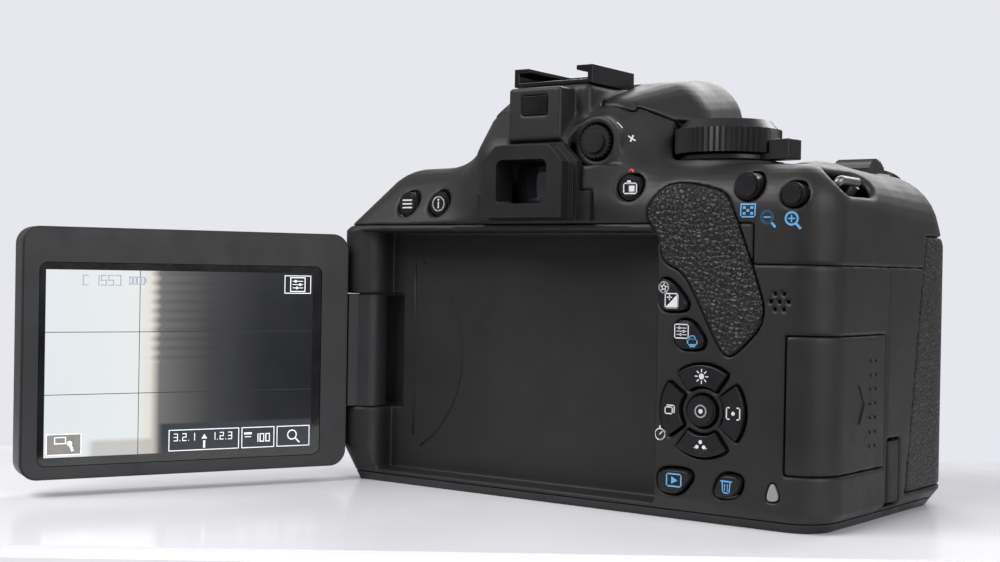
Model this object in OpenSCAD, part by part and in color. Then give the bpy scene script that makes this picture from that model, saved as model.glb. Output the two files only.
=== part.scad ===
// Single-lens reflex camera with a swing-out, tilting rear screen.
// Lengths are in millimetres. The lens side is -Y, the rear is +Y, the screen side is +X and the grip is -X.
// The origin is the mouth of the tripod socket, on the plane that the camera stands on.

/* [Body] */
// Distance from the tripod socket back to the rear face
rear_y = 32; // [30:0.5:36]
// Height of the lens axis above the base
lens_z = 41; // [40:0.5:42]
// Thickness of the moulded covers
wall = 2; // [1.6:0.1:2.2]
// Height of the seam between the top cover and the covers below it
top_seam_z = 63.3; // [62.8:0.1:63.6]
// Depth of the bottom cover
base_t = 2; // [1.6:0.1:2.2]

/* [Screen] */
// Length of the screen panel away from its hinge
panel_w = 78; // [77:0.5:78]
// Height of the screen panel
panel_h = 57; // [56:0.5:57.5]
// Thickness of the screen panel
panel_t = 8.5; // [8:0.1:8.6]
// Opening angle of the panel, from the plane of the rear face
panel_angle = 63.3; // [20:0.1:110]
// Height of the tilt axis, the middle of the panel
panel_z = 32.4; // [32:0.1:32.6]

/* [Controls] */
// Height that the small buttons stand proud of the rear face
button_proud = 0.9; // [0.6:0.1:1.2]
// Gap between a button and the edge of its hole
button_gap = 0.35; // [0.3:0.05:0.4]
// Outer radius of the ring of arrow keys
keys_r = 9.65; // [9:0.05:10]
// Radius of the mode dial
dial_r = 11.8; // [11:0.1:12]
// Number of ribs round the mode dial
dial_ribs = 56; // [30:2:70]

/* [Mounts] */
// Radius of the lens throat
throat_r = 27; // [27:0.1:27.2]
// Outer radius of the lens mount ring
ring_r = 32.5; // [32:0.1:33]
// Inside width of the accessory shoe
shoe_slot_w = 18.6; // [18.4:0.1:18.8]
// Radius of the tripod thread's crests
thread_r = 3.175; // [3.1:0.005:3.2]

/* [Hidden] */

// Facets of the shell's round corners
shell_fn = 24;

// Colours
plastic = "#2f3031";
dark = "#1b1b1c";
leather = "#242424";
metal = "#c8c8c8";
rubber = "#262626";

// Levels and places, measured from the rear face: y is negative towards the lens
front_y = -50;
mount_y = -61;
rear_seam_left_y = -18;
rear_seam_right_y = -29.5;
side_seam_x = -53;
side_seam_z = 54.8;
flash_seam_z = 85;
flash_axis = [-9.6, 90.4];
flash_knuckle_r = 1.5;
flash_pin_r = 0.9;
shoe_z = 95.3;
shoe_rear_y = -4;
shoe_front_y = -24;
sensor_face_y = 2.5;
eyepiece_seat_y = 1.4;
hinge_at = [54.4, -5.6];
knuckle_r = 5.6;
hinge_r = 4.8;
hinge_low = 18.6;
hinge_high = 46.2;
panel_start = 6.5;
glass_front = 2.9;
panel_back = glass_front - panel_t;
tilt_y = (glass_front + panel_back) / 2;
window_low = [13.5, 6.9];
window_size = [67.2, 46];
recess = [-30.6, -9, 3.2, 61.6];
dial_at = [-37.2, -20];
wheel_at = [-57, -47, 72.7];
shutter_at = [-57, -61, 74.5];
shutter_tilt = 28;
iso_at = [-48.5, -52];
keys_at = [-42.2, 23.9];
lock_pin_x = 29.7;
release_at = [42.5, 30];
flash_button_at = [43.5, 55];
socket_y = -rear_y;
mirror_hinge = [-28.8, 50.6];
mirror_len = 25;
eyepiece_z = 72.4;
diopter_at = [-13.6, 81.6];
big = 200;

// Centres and radii of the round buttons on the rear: [x, z, radius, y of the face round them]
menu_at = [40, 68.5, 2.9, -3.6];
info_at = [30.2, 68.4, 2.9, -3.2];
live_view_at = [-23.1, 71.2, 2.7, -1.6];
ae_lock_at = [-51.5, 71, 2.8, -0.8];
af_point_at = [-61.6, 69.1, 2.45, -0.9];

// Outlines of the shaped buttons on the rear, as [x, z] corners
exposure_shape = [[-31.3, 44.8], [-31.5, 51.6], [-34.5, 51.1], [-38.6, 46.6], [-37.9, 44.8]];
quick_shape = [[-35.7, 36.8], [-35.6, 42.6], [-39.4, 42.9], [-42.7, 38.8], [-41.8, 36.8]];
playback_shape = [[-32, 6.3], [-31.9, 11.2], [-41.2, 11.2], [-37.3, 5.7]];
erase_shape = [[-44.8, 5.9], [-46.5, 11.3], [-52, 11], [-50.7, 6.7]];
lamp_shape = [[-58.2, 10.9], [-56.8, 6.5], [-59.9, 6.8]];
thumb_shape = [[-27.1, 65.6], [-32.3, 72.8], [-46.5, 70.2], [-48.9, 65], [-52.6, 55.3], [-56.7, 43.5],
    [-48.6, 35.1], [-46, 36.5], [-40.5, 47.2], [-37, 53], [-32, 55.1], [-30.9, 60.8]];

// ---------- Shared shapes ----------

module from_rear() translate([0, rear_y, 0]) children();

// A flat [x, z] outline made thick along Y, from y0 to y1
module upright(y0, y1) translate([0, y1, 0]) rotate([90, 0, 0]) linear_extrude(y1 - y0) children();

// A round rod along Y at [x, z], from y0 to y1
module rod_y(at, r, y0, y1, fn = 48) translate([at.x, y1, at.y]) rotate([90, 0, 0])
    cylinder(r = r, h = y1 - y0, $fn = fn);

// A box given by its low and high corners
module block(low, high) translate(low) cube(high - low);

// A rectangle with round corners, low corner at the origin, made of true arcs
module round_rect(w, h, r) {
    translate([r, 0]) square([w - 2 * r, h]);
    translate([0, r]) square([w, h - 2 * r]);
    for (x = [r, w - r], y = [r, h - r]) translate([x, y]) circle(r, $fn = 32);
}

// A ribbed disc outline
function ribbed(r, depth, ribs) = [for (i = [0:2 * ribs - 1])
    let (a = i * 180 / ribs, q = i % 2 == 0 ? r : r - depth) [q * cos(a), q * sin(a)]];

// A closed outline with its corners cut down twice, which leaves them round
function soft(p, share = 0.22, times = 2) = times == 0 ? p : soft([for (i = [0:len(p) - 1])
    let (a = p[i], b = p[(i + 1) % len(p)]) each [a + (b - a) * share, b + (a - b) * share]],
    share, times - 1);

// ---------- Outer form of the body, inset evenly for the inside of its covers ----------

module ball(at, r, inset) translate(at) sphere(r - inset, $fn = shell_fn);

// A round vertical corner of the body that draws in towards the base
module corner_post(at, r, top, inset, draw_in, draw_up) {
    translate([at.x, at.y, inset]) cylinder(r = max(0.3, r - draw_in - inset), h = 1, $fn = shell_fn);
    translate([at.x, at.y, inset + draw_up])
        cylinder(r = r - inset, h = top - inset - draw_up, $fn = shell_fn);
}

module main_form(inset = 0) hull() {
    corner_post(hinge_at, knuckle_r, 62, inset, 4.5, 9);
    corner_post([50, -40], 10, 62, inset, 6, 9);
    corner_post([-60, -10], 10, 60, inset, 3, 4);
    corner_post([-55, -40], 10, 60, inset, 3, 4);
    for (y = [-17, -35]) ball([43, y, 64], 14, inset);
    for (x = [-60, -30]) ball([x, -10, 66], 10, inset);
    ball([18, -13, 68], 10, inset);
    ball([-48, -38, 66], 12, inset);
}

module grip_form(inset = 0) hull() {
    corner_post([-59, -57], 14, 60, inset, 3, 4);
    corner_post([-50, -61], 10, 60, inset, 3, 4);
    corner_post([-60, -10], 10, 60, inset, 3, 4);
    corner_post([-46, -34], 6, 60, inset, 3, 4);
    ball([-59, -54, 62.5], 14, inset);
    ball([-51, -46, 66], 12, inset);
    ball([-60, -10, 66], 10, inset);
}

module mount_form(inset = 0) hull() {
    rod_y([0, lens_z], 37 - inset, mount_y + 3 + inset, -46);
    rod_y([0, lens_z], 35.5 - inset, mount_y + 1.5 + inset, -46);
    for (s = [-1, 1]) ball([s * 18, -48, 78], 9, inset);
}

module hump_form(inset = 0) hull() for (s = [-1, 1]) {
    ball([s * 18.5, -28, 87], 10.5, inset);
    ball([s * 17, -44, 88.8], 11, inset);
    ball([s * 24, -16, 68], 8, inset);
    ball([s * 25, -46, 70], 8, inset);
    ball([s * 13.5, -14, 84.5], 8.5, inset);
    for (z = [70, 78]) ball([s * 12, -6, z], 8, inset);
}

// Raised column under the accessory shoe
module shoe_column() {
    block([-10.6, -34, 76], [10.6, shoe_rear_y, shoe_z]);
    block([-7, -20, 82], [7, sensor_face_y, 94]);
}

// Room for the mode dial beside the hump
module dial_room(gap) translate([dial_at.x, dial_at.y, 77.5])
    cylinder(r = dial_r + gap, h = 9.3 + gap, $fn = 48);

// Room for the power lever's tab as it sweeps over the grip side of the deck
module lever_room() intersection() {
    translate([dial_at.x, dial_at.y, 77.5]) cylinder(r = 18.2, h = 9, $fn = 48);
    block([-big, -big, 0], [dial_at.x, big, big]);
}

// The main box and the grip, which share the right side
module side_form(inset = 0) {
    main_form(inset);
    grip_form(inset);
}

module body_form(inset = 0) {
    side_form(inset);
    mount_form(inset);
    hump_form(inset);
}

// ---------- Regions that share the body out between its covers ----------

// Everything below the top cover's seam, which steps down at the grip corner
module below_top_seam() upright(-big, big)
    polygon([[big, base_t], [big, top_seam_z], [side_seam_x, top_seam_z], [side_seam_x, side_seam_z],
        [-big, side_seam_z], [-big, base_t]]);

module rear_zone() {
    intersection() {
        below_top_seam();
        linear_extrude(big) polygon([[big, big], [big, rear_seam_left_y], [0, rear_seam_left_y],
            [0, rear_seam_right_y], [-big, rear_seam_right_y], [-big, big]]);
    }
    upright(-6, big) polygon(soft(thumb_shape));
}

module front_zone() difference() {
    union() {
        below_top_seam();
        block([-36, -big, base_t], [36, -47, 80]);
    }
    rear_zone();
    block([-big, rear_seam_left_y, 0], [0, big, big]);
    linear_extrude(big) polygon([[big, big], [big, rear_seam_left_y], [0, rear_seam_left_y],
        [0, rear_seam_right_y], [-big, rear_seam_right_y], [-big, big]]);
}

// The flash head's share of the hump: above a seam that climbs to its hinge line
module flash_zone(gap = 0) difference() {
    rotate([90, 0, 90]) translate([0, 0, -big / 2]) linear_extrude(big) {
        polygon([flash_axis + [0, gap], [-22, flash_seam_z + gap], [-big, flash_seam_z + gap], [-big, big],
            [flash_axis.x, big]]);
        translate(flash_axis) circle(flash_knuckle_r + 0.25 - gap, $fn = 32);
    }
    block([-11.3 - gap, -34.7 - 5 * gap, 0], [11.3 + gap, big, big]);
}

// Skin of the grip that the leather-textured rubber takes the place of
module grip_skin(outer, inner, grow = 0) intersection() {
    difference() {
        grip_form(outer);
        grip_form(inner);
    }
    hull() {
        block([-big, -big, 5 - grow], [-38 + grow, -40 + grow, 6]);
        block([-big, -big, 61], [-38 + grow, -49 + grow, 62 + grow]);
    }
    block([-big, -big, 5 - grow], [-38 + grow, -34, 62 + grow]);
}

module card_door_zone(grow = 0)
    block([-big, -28.3 - grow, 12 - grow], [-60.6 + grow, big, 40.3 + grow]);
module cord_flap_zone(grow = 0)
    block([-big, -36.5 - grow, 3.4 - grow], [-60, -30.5 + grow, 17.5 + grow]);
module terminal_zone(grow = 0)
    block([55, -39 - grow, 20 - grow], [big, -20 + grow, 58 + grow]);
module battery_door_zone(grow = 0)
    block([-big, -big, -1], [-43.4 + grow, -29 + grow, base_t + grow]);

// ---------- Covers ----------

module rear_cover() color(plastic) from_rear() difference() {
    intersection() {
        union() {
            difference() {
                body_form();
                body_form(wall);
            }
            intersection() {
                main_form();
                union() {
                    block([recess[0] - wall, recess[1] - wall, 0], [big, big, top_seam_z + 4]);
                    block([44, -14, hinge_low - 2.7], [big, 0, hinge_high + 2.7]);
                }
            }
            intersection() {
                side_form();
                block([-big, -29.2, 10], [-65, 0, 42]);
            }
        }
        rear_zone();
    }
    screen_recess();
    hinge_niche();
    for (low = [hinge_low - 4.5, hinge_high]) translate([hinge_at.x, hinge_at.y, low])
        cylinder(r = 2.26, h = 4.5, $fn = 64);
    rear_button_holes();
    upright(-1.4, 5) offset(delta = 0.1) polygon(soft(thumb_shape));
    difference() {
        card_door_zone(0.15);
        side_form(1.7);
    }
    block([-66.8, -12.6, 13.6], [-60, -9.6, 38.4]);
    speaker_holes();
}

// Pocket for the closed screen. Round knuckles are left standing in it at the hinge
module screen_recess() difference() {
    block([recess[0], recess[1], recess[2]], [hinge_at.x, big, recess[3]]);
    translate([hinge_at.x, hinge_at.y, 0]) cylinder(r = knuckle_r, h = big, $fn = 48);
    block([49, recess[1] - 1, 0], [hinge_at.x, hinge_at.y, big]);
}

module hinge_niche() block([46, -11.4, hinge_low - 0.2], [big, big, hinge_high + 0.2]);

module speaker_holes() for (i = [0:6])
    rod_y([-59 + (i ? 1.9 * cos(60 * i) : 0), 47.3 + (i ? 1.9 * sin(60 * i) : 0)], 0.45, -4, 2, 12);

module rear_button_holes() {
    for (s = [exposure_shape, quick_shape, playback_shape, erase_shape, lamp_shape])
        upright(-4, 5) offset(delta = button_gap) button_outline(s);
    for (a = [0:90:270]) upright(-4, 5) offset(delta = button_gap) key_outline(a);
    rod_y(keys_at, 3.6, -4, 5);
}

module button_outline(shape) polygon(soft(shape));

module front_cover() color(plastic) from_rear() difference() {
    intersection() {
        union() {
            difference() {
                body_form();
                body_form(wall);
            }
            intersection() {
                main_form();
                block([54.5, -41, 18], [60.5, rear_seam_left_y, 60]);
            }
        }
        front_zone();
    }
    grip_skin(-0.5, 1, 0.1);
    rod_y([0, lens_z], 28.8, mount_y - 1, -40, 64);
    rod_y([lock_pin_x, lens_z], 2.2, mount_y - 1, -40);
    rod_y(release_at, 5.85, front_y - 5, -40);
    rod_y(flash_button_at, 3.55, front_y - 5, -40);
    difference() {
        terminal_zone(0.15);
        block([0, -60, 0], [58.3, 0, 70]);
    }
    for (z = [27, 39]) translate([54, -29, z]) rotate([0, 90, 0]) cylinder(r = 2.6, h = 6, $fn = 24);
    block([54, -33, 46.5], [60, -25, 51.5]);
    difference() {
        cord_flap_zone(0.35);
        grip_form(1.7);
    }
    for (a = [45, 135, 225, 315]) rod_y([30 * cos(a), lens_z + 30 * sin(a)], 0.95, mount_y, -54);
}

module top_cover() color(plastic) from_rear() difference() {
    union() {
        intersection() {
            difference() {
                body_form();
                body_form(wall);
            }
            above_covers();
        }
        intersection() {
            hump_form();
            block([-40, -54, flash_seam_z - 2.5], [40, -20, flash_seam_z - 0.5]);
        }
        difference() {
            shoe_column();
            hump_form(wall);
        }
        translate([dial_at.x, dial_at.y, 70]) cylinder(r = 13, h = 7.4, $fn = 48);
        for (x = [-63.6, -52.2]) wheel_ear(x);
        rod_y(diopter_at, 5.8, -11, -2.2);
        intersection() {
            hump_form();
            above_covers();
            dial_room(2.3);
        }
    }
    translate([dial_at.x, dial_at.y, 60]) cylinder(r = 3.05, h = 30, $fn = 64);
    block([-61.8, wheel_at.y - 7.6, 66], [-52.2, wheel_at.y + 7.6, 90]);
    translate([-65, wheel_at.y, wheel_at.z]) rotate([0, 90, 0]) cylinder(r = 1.25, h = 16, $fn = 48);
    at_shutter() translate([0, 0, -4.2]) cylinder(r = 5.35, h = 14, $fn = 48);
    translate([iso_at.x, iso_at.y, 60]) cylinder(r = 2.55, h = 30, $fn = 32);
    for (b = [menu_at, info_at, live_view_at, ae_lock_at, af_point_at])
        rod_y(b, b[2] + button_gap, -12, 5);
    rod_y(diopter_at, 5.5, -2.2, 5);
    block([-24, -2.2, 76.4], [diopter_at.x, 5, 87]);
    rod_y(diopter_at, 4.2, -6.4, 5);
    rod_y(diopter_at, 1.55, -12, 5, 64);
    translate([-14, flash_axis.x, flash_axis.y]) rotate([0, 90, 0])
        cylinder(r = flash_pin_r + 0.05, h = 28, $fn = 48);
    block([-3.4, sensor_face_y - 1, 87.7], [3.4, big, 92.1]);
    block([-11.4, -34.8, shoe_z], [11.4, big, big]);
    upright(eyepiece_seat_y, 5) offset(delta = 0.1) eyepiece_base();
    dial_room(0.5);
    lever_room();
    grip_skin(-0.5, 1, 0.1);
    block([-6.9, -20, eyepiece_z - 4.9], [6.9, 5, eyepiece_z + 5.2]);
    for (s = [-1, 1]) lug_scoop(s);
}

// What is left above the seams, outside the flash head and the other covers
module above_covers() difference() {
    block([-big, -big, side_seam_z], [big, big, big]);
    below_top_seam();
    block([-36, -big, 0], [36, -47, 80]);
    upright(-6, big) polygon(soft(thumb_shape));
    flash_zone();
}

module wheel_ear(x) block([x, wheel_at.y - 2.5, wheel_at.z - 3], [x + 1.8, wheel_at.y + 2.5, 76]);

// Stands its children on one of the sloping shoulders, z pointing out of it: right at -1, left at 1
module on_shoulder(side) translate(side < 0 ? [-66.8, -17, 72.6] : [52.4, -24, 73.2])
    rotate([0, side * 42, 0]) children();

module lug_scoop(side) on_shoulder(side) translate([0, 0, 1.4])
    hull() for (y = [-5, 5]) translate([0, y, 0]) sphere(4.4, $fn = 20);

module base_form() intersection() {
    side_form();
    block([-big, -big, 0], [big, big, base_t]);
}

module bottom_cover() color(dark) from_rear() difference() {
    base_form();
    battery_door_zone(0.15);
    translate([0, socket_y, -1]) cylinder(r = 6.55, h = 5, $fn = 48);
    for (p = base_screws()) translate([p.x, p.y, -1]) cylinder(r = 1.75, h = 5, $fn = 24);
}

function base_screws() = [[44, -14], [-30, -14], [44, -38], [-30, -44]];

// ---------- Skins ----------

module grip_rubber() color(leather) from_rear() grip_skin(0, 1);

module thumb_rubber() color(leather) from_rear() difference() {
    upright(-1.3, 0.6) polygon(soft(thumb_shape));
    block([-60, -0.4, 69.5], [-20, 2, 80]);
}

// ---------- Frame, board, power and memory ----------

module chassis() color("#8d8f92") from_rear() {
    difference() {
        union() {
            difference() {
                block([-34, -28, 4], [40, -26, 55]);
                block([-18.8, -29, 27.6], [18.8, -25, 56]);
            }
            block([-34, -40.5, base_t], [40, -18.6, 4]);
        }
        translate([0, socket_y, 0]) cylinder(r = 6.3, h = 10, $fn = 48);
    }
    block([-51, -30.1, 10], [-34, -26, 50]);
    difference() {
        block([-66.8, -64.4, 4.6], [-50, -29.4, 58.4]);
        block([-66.2, -63.8, 2], [-50.6, -30.2, 57.6]);
    }
}

module main_board() color("#1d5a35") from_rear() {
    block([-32, -14.8, 11.5], [38, -13.6, 58]);
    block([-20, -13.6, 20], [-6, -12.4, 34]);
    block([4, -13.6, 36], [14, -12.5, 46]);
    block([18, -13.6, 14], [30, -12.6, 22]);
}

module battery() color("#3a3a3c") from_rear() difference() {
    block([-66, -63.6, 3.2], [-51, -30.4, 57.2]);
    for (y = [-60, -55, -50]) block([-64, y, 56.2], [-62, y + 3, 58]);
}

module battery_door() color(dark) from_rear() intersection() {
    base_form();
    battery_door_zone();
}

module tripod_socket() color(metal) from_rear() translate([0, socket_y, 0]) difference() {
    union() {
        cylinder(r = 6.4, h = base_t, $fn = 48);
        cylinder(r = 6, h = 7.5, $fn = 48);
    }
    translate([0, 0, -1]) cylinder(r = thread_r, h = 7, $fn = 48);
}

module cover_screws() color(metal) from_rear() {
    for (p = base_screws()) translate([p.x, p.y, 0.3]) difference() {
        cylinder(r = 1.7, h = 1.7, $fn = 24);
        for (a = [0, 90]) rotate(a) block([-1.1, -0.2, -1], [1.1, 0.2, 0.7]);
    }
    for (a = [45, 135, 225, 315]) translate([30 * cos(a), mount_y + 0.1, lens_z + 30 * sin(a)])
        rotate([-90, 0, 0]) difference() {
            union() {
                cylinder(r = 1.45, h = 1.3, $fn = 24);
                cylinder(r = 0.9, h = 5, $fn = 24);
            }
            for (b = [0, 90]) rotate(b) block([-0.9, -0.18, -1], [0.9, 0.18, 0.5]);
        }
}

module card_door() color(plastic) from_rear() intersection() {
    difference() {
        side_form();
        side_form(1.6);
    }
    card_door_zone();
}

module memory_card() color("#2a3a5a") from_rear() difference() {
    block([-66.4, -12.2, 14], [-34.4, -10.1, 38]);
    translate([-36.4, -13, 38]) rotate([0, 45, 0]) cube([4, 4, 4]);
    for (i = [0:7]) block([-38.4, -10.4, 15.4 + 2.6 * i], [-34, -10, 17.2 + 2.6 * i]);
}

// ---------- Lens mount, mirror and shutter ----------

module lens_mount_ring() color(metal) from_rear() difference() {
    translate([0, mount_y, lens_z]) rotate([-90, 0, 0]) rotate_extrude($fn = 96)
        polygon([[throat_r, 0], [ring_r, 0], [ring_r, 1.5], [28.6, 1.5], [28.6, 4.5],
            [throat_r + 0.9, 4.5], [throat_r + 0.9, 2], [throat_r, 2]]);
    for (a = [80, 200, 320]) translate([0, mount_y - 1, lens_z]) rotate([-90, 0, 0])
        rotate(a) translate([throat_r - 1, -5, 0]) cube([2.2, 10, 3.6]);
    rod_y([lock_pin_x, lens_z], 1.66, mount_y - 1, mount_y + 10);
    for (a = [45, 135, 225, 315]) translate([30 * cos(a), mount_y - 1, lens_z + 30 * sin(a)])
        rotate([-90, 0, 0]) {
            cylinder(r = 1.5, h = 2.4, $fn = 24);
            cylinder(r = 0.95, h = 10, $fn = 24);
        }
}

module mount_contacts() color("#c9a24a") from_rear() {
    upright(mount_y + 3, mount_y + 6) translate([0, lens_z]) difference() {
        intersection() {
            circle(24.5, $fn = 96);
            translate([-12, -26]) square([24, 14]);
        }
        circle(20.5, $fn = 96);
    }
    for (i = [0:7]) rod_y([22.5 * sin(i * 7 - 24.5), lens_z - 22.5 * cos(i * 7 - 24.5)], 0.7,
        mount_y + 2.2, mount_y + 3.5, 16);
}

module lens_lock_pin() color(metal) from_rear() rod_y([lock_pin_x, lens_z], 1.6, mount_y - 1.9, -51);

module lens_release_button() color(dark) from_rear() {
    rod_y(release_at, 5.5, front_y - 3, front_y + 2.5);
    rod_y(release_at, 6.4, front_y + 2.3, front_y + 3.3);
}

module flash_button() color(dark) from_rear() {
    rod_y(flash_button_at, 3.2, front_y - 1, front_y + 2.5);
    rod_y(flash_button_at, 4, front_y + 2.3, front_y + 3.3);
}

// Open at the front, the rear and the top
module mirror_box() color(dark) from_rear() difference() {
    block([-18.5, -56.5, 28], [18.5, -24.4, 54]);
    block([-17, -57, 30], [17, -24, 52.4]);
    block([-13.5, -52, 50], [13.5, -32, 55]);
    translate([-20, mirror_hinge.x, mirror_hinge.y]) rotate([0, 90, 0]) cylinder(r = 0.65, h = 40, $fn = 32);
}

module main_mirror() color("#d9dde2") from_rear() translate([0, mirror_hinge.x, mirror_hinge.y])
    rotate([45, 0, 0]) {
        block([-14.5, -mirror_len, -0.6], [14.5, -1, 0.6]);
        for (s = [-1, 1]) translate([s * 15.6, 0, 0]) rotate([0, 90, 0])
            cylinder(r = 0.6, h = 4.4, center = true, $fn = 24);
        for (s = [-1, 1]) block([s * 14 - 0.5, -3, -0.6], [s * 14 + 0.5, 0, 0.6]);
    }

module sub_mirror() color("#d9dde2") from_rear() translate([0, mirror_hinge.x, mirror_hinge.y])
    rotate([45, 0, 0]) translate([0, -12, -1.8]) block([-10, -0.4, -10.9], [10, 0.4, 0.4]);

module focusing_screen() color("#e8ecef") from_rear() block([-15, -53, 54], [15, -31, 55.2]);

module pentamirror() color("#9aa3ad") from_rear() rotate([90, 0, 90]) translate([0, 0, -14])
    linear_extrude(28) polygon([[-52, 55.4], [-29, 55.4], [-16, 66], [-16, 77.5], [-34, 81.5], [-50, 76]]);

module shutter_unit() color("#4a4c4f") from_rear() difference() {
    block([-18, -24.2, 29], [18, -20, 54]);
    block([-12.5, -25, lens_z - 8.5], [12.5, -22.4, lens_z + 8.5]);
}

module image_sensor() color("#5a6f5e") from_rear() {
    block([-14, -18.4, lens_z - 10.5], [14, -16.6, lens_z + 10.5]);
    block([-11.15, -19, lens_z - 7.45], [11.15, -18.4, lens_z + 7.45]);
}

// ---------- Viewfinder ----------

module eyepiece_outline(w, low, high, cut) polygon([[-w, low], [w, low], [w, high - cut],
    [w - cut, high], [cut - w, high], [-w, high - cut]]);

// The frame's foot, with a short rail on each side
module eyepiece_base() {
    eyepiece_outline(12.3, 63.9, 81.2, 4.2);
    translate([-15.2, 63.9]) square([30.4, 6.6]);
}

module eyepiece_frame() color(dark) from_rear() difference() {
    union() {
        upright(eyepiece_seat_y + 0.05, 2.6) eyepiece_base();
        upright(2.5, 3.6) eyepiece_outline(12.3, 63.9, 81.2, 4.2);
        upright(3.6, 4.4) eyepiece_outline(11.3, 64.6, 80.4, 3.8);
        upright(4.4, 7.4) eyepiece_outline(10.8, 64.5, 80.6, 3.8);
    }
    upright(-5, 10) translate([-6.75, eyepiece_z - 4.8]) round_rect(13.5, 9.8, 1.6);
}

// A biconvex disc cut to the shape of the window
module eyepiece_lens() color("#8fa8b8") from_rear() intersection() {
    translate([0, -2, eyepiece_z + 0.1]) rotate([90, 0, 0]) rotate_extrude($fn = 64)
        polygon(concat([for (r = [0:8]) [r, 2 - r * r / 50]], [for (r = [8:-1:0]) [r, r * r / 50 - 1.6]]));
    block([-6.6, -8, eyepiece_z - 4.6], [6.6, 2, eyepiece_z + 4.9]);
}

module diopter_knob() color(dark) from_rear() {
    upright(-6, -1.6) translate(diopter_at) polygon(ribbed(3.85, 0.35, 24));
    rod_y(diopter_at, 2.5, -2, -0.9);
    rod_y(diopter_at, 1.5, -10.5, -5, 64);
}

module display_off_sensor() color("#0a0a0c") from_rear()
    block([-3.3, sensor_face_y - 0.9, 87.8], [3.3, sensor_face_y - 0.1, 92]);

// ---------- Shoe and flash ----------

module hot_shoe() color("#101012") from_rear() difference() {
    block([-10.6, shoe_front_y, shoe_z], [10.6, shoe_rear_y - 1, shoe_z + 4.2]);
    block([-shoe_slot_w / 2, shoe_front_y + 1, shoe_z + 1], [shoe_slot_w / 2, 0, shoe_z + 3.15]);
    block([-6.3, shoe_front_y + 1, shoe_z + 1], [6.3, 0, shoe_z + 9]);
}

module flash_head() color(plastic) from_rear() {
    difference() {
        intersection() {
            hump_form();
            flash_zone(0.2);
        }
        dial_room(0.5);
        difference() {
            hump_form(1.8);
            dial_room(2.3);
            block([-13, -37.5, 0], [13, 0, big]);
            block([-big, -big, 0], [big, big, flash_seam_z + 1.6]);
            translate([0, flash_axis.x, flash_axis.y]) rotate([23.6, 0, 0])
                block([-big, -40, -9], [big, 3, 1.8]);
        }
        block([-17, -53, flash_seam_z - 1], [17, -41, flash_seam_z + 1]);
    }
    for (s = [-1, 1]) translate([s * 10.3, flash_axis.x, flash_axis.y]) rotate([0, 90, 0])
        cylinder(r = flash_pin_r, h = 3, center = true, $fn = 48);
}

module flash_window() color("#dfe6ea") from_rear()
    block([-16.9, -52.9, flash_seam_z + 0.1], [16.9, -41.1, flash_seam_z + 1]);

// ---------- Top controls ----------

module mode_dial() color(dark) from_rear() translate([dial_at.x, dial_at.y, 0]) {
    translate([0, 0, 79.2]) linear_extrude(5.4) polygon(ribbed(dial_r, 0.5, dial_ribs));
    translate([0, 0, 84.6]) cylinder(r1 = dial_r - 0.6, r2 = dial_r - 2.4, h = 2, $fn = 64);
    translate([0, 0, 72]) cylinder(r = 3, h = 8, $fn = 48);
}

module power_lever() color(dark) from_rear() translate([dial_at.x, dial_at.y, 0]) rotate(171) {
    translate([0, 0, 77.6]) difference() {
        union() {
            cylinder(r = 10.5, h = 1.3, $fn = 48);
            block([8, -2.6, 0], [17.4, 2.6, 1.3]);
        }
        translate([0, 0, -1]) cylinder(r = 3.3, h = 4, $fn = 48);
    }
    translate([12.3, -2.6, 77.6]) cube([5.1, 5.2, 4.4]);
}

// The sloping place of the shutter button at the front of the grip, z pointing out of it
module at_shutter() translate(shutter_at) rotate([shutter_tilt, 0, 0]) children();

module shutter_button() color(dark) from_rear() at_shutter() difference() {
    translate([0, 0, -2.6]) cylinder(r = 5, h = 4, $fn = 48);
    translate([0, 0, 20.7]) sphere(20, $fn = 64);
}

module main_dial() color(dark) from_rear() translate(wheel_at) rotate([0, -90, 0]) {
    translate([0, 0, -4.4]) linear_extrude(8.8) polygon(ribbed(7, 0.4, 36));
    translate([0, 0, -5.8]) cylinder(r = 1.2, h = 12.2, $fn = 48);
}

module iso_button() color(dark) from_rear() translate([iso_at.x, iso_at.y, 71])
    cylinder(r = 2.2, h = 6.3, $fn = 32);

// ---------- Rear controls ----------

// A round button with a low dome: b = [x, z, radius, y of the face round it]
module round_button(b, proud) color(dark) from_rear() {
    rod_y(b, b[2], b[3] - 3.6, b[3] + proud * 0.6);
    rod_y(b, b[2] - 0.5, b[3], b[3] + proud);
}

module menu_button() round_button(menu_at, 0.9);
module info_button() round_button(info_at, 0.9);
module live_view_button() round_button(live_view_at, 0.9);
module ae_lock_button() round_button(ae_lock_at, 1.6);
module af_point_button() round_button(af_point_at, 1.6);

// A shaped button: its outline drawn in a little at the face
module shaped_button(shape) color(dark) from_rear() {
    upright(-3.2, button_proud - 0.3) button_outline(shape);
    upright(-1, button_proud) offset(delta = -0.35) button_outline(shape);
}

module exposure_button() shaped_button(exposure_shape);
module quick_menu_button() shaped_button(quick_shape);
module playback_button() shaped_button(playback_shape);
module erase_button() shaped_button(erase_shape);

// One key of the ring, pointing along a. Spokes of the cover stand between the keys
module key_outline(a) translate(keys_at) rotate(a) intersection() {
    difference() {
        circle(keys_r, $fn = 64);
        circle(keys_r - 4.4, $fn = 48);
    }
    polygon([[0, 0], [20, -14.5], [20, 14.5]]);
}

module arrow_key(a) color(dark) from_rear() upright(-3.2, button_proud - 0.2) key_outline(a);

module key_up() arrow_key(90);
module key_right() arrow_key(180);
module key_down() arrow_key(270);
module key_left() arrow_key(0);

module set_button() color(dark) from_rear() {
    rod_y(keys_at, 3.25, -3.2, button_proud - 0.3);
    rod_y(keys_at, 2.8, -1, button_proud);
}

module access_lamp() color("#d8d8d8") from_rear() upright(-3.2, 0.05)
    offset(delta = 0.1) button_outline(lamp_shape);

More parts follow.
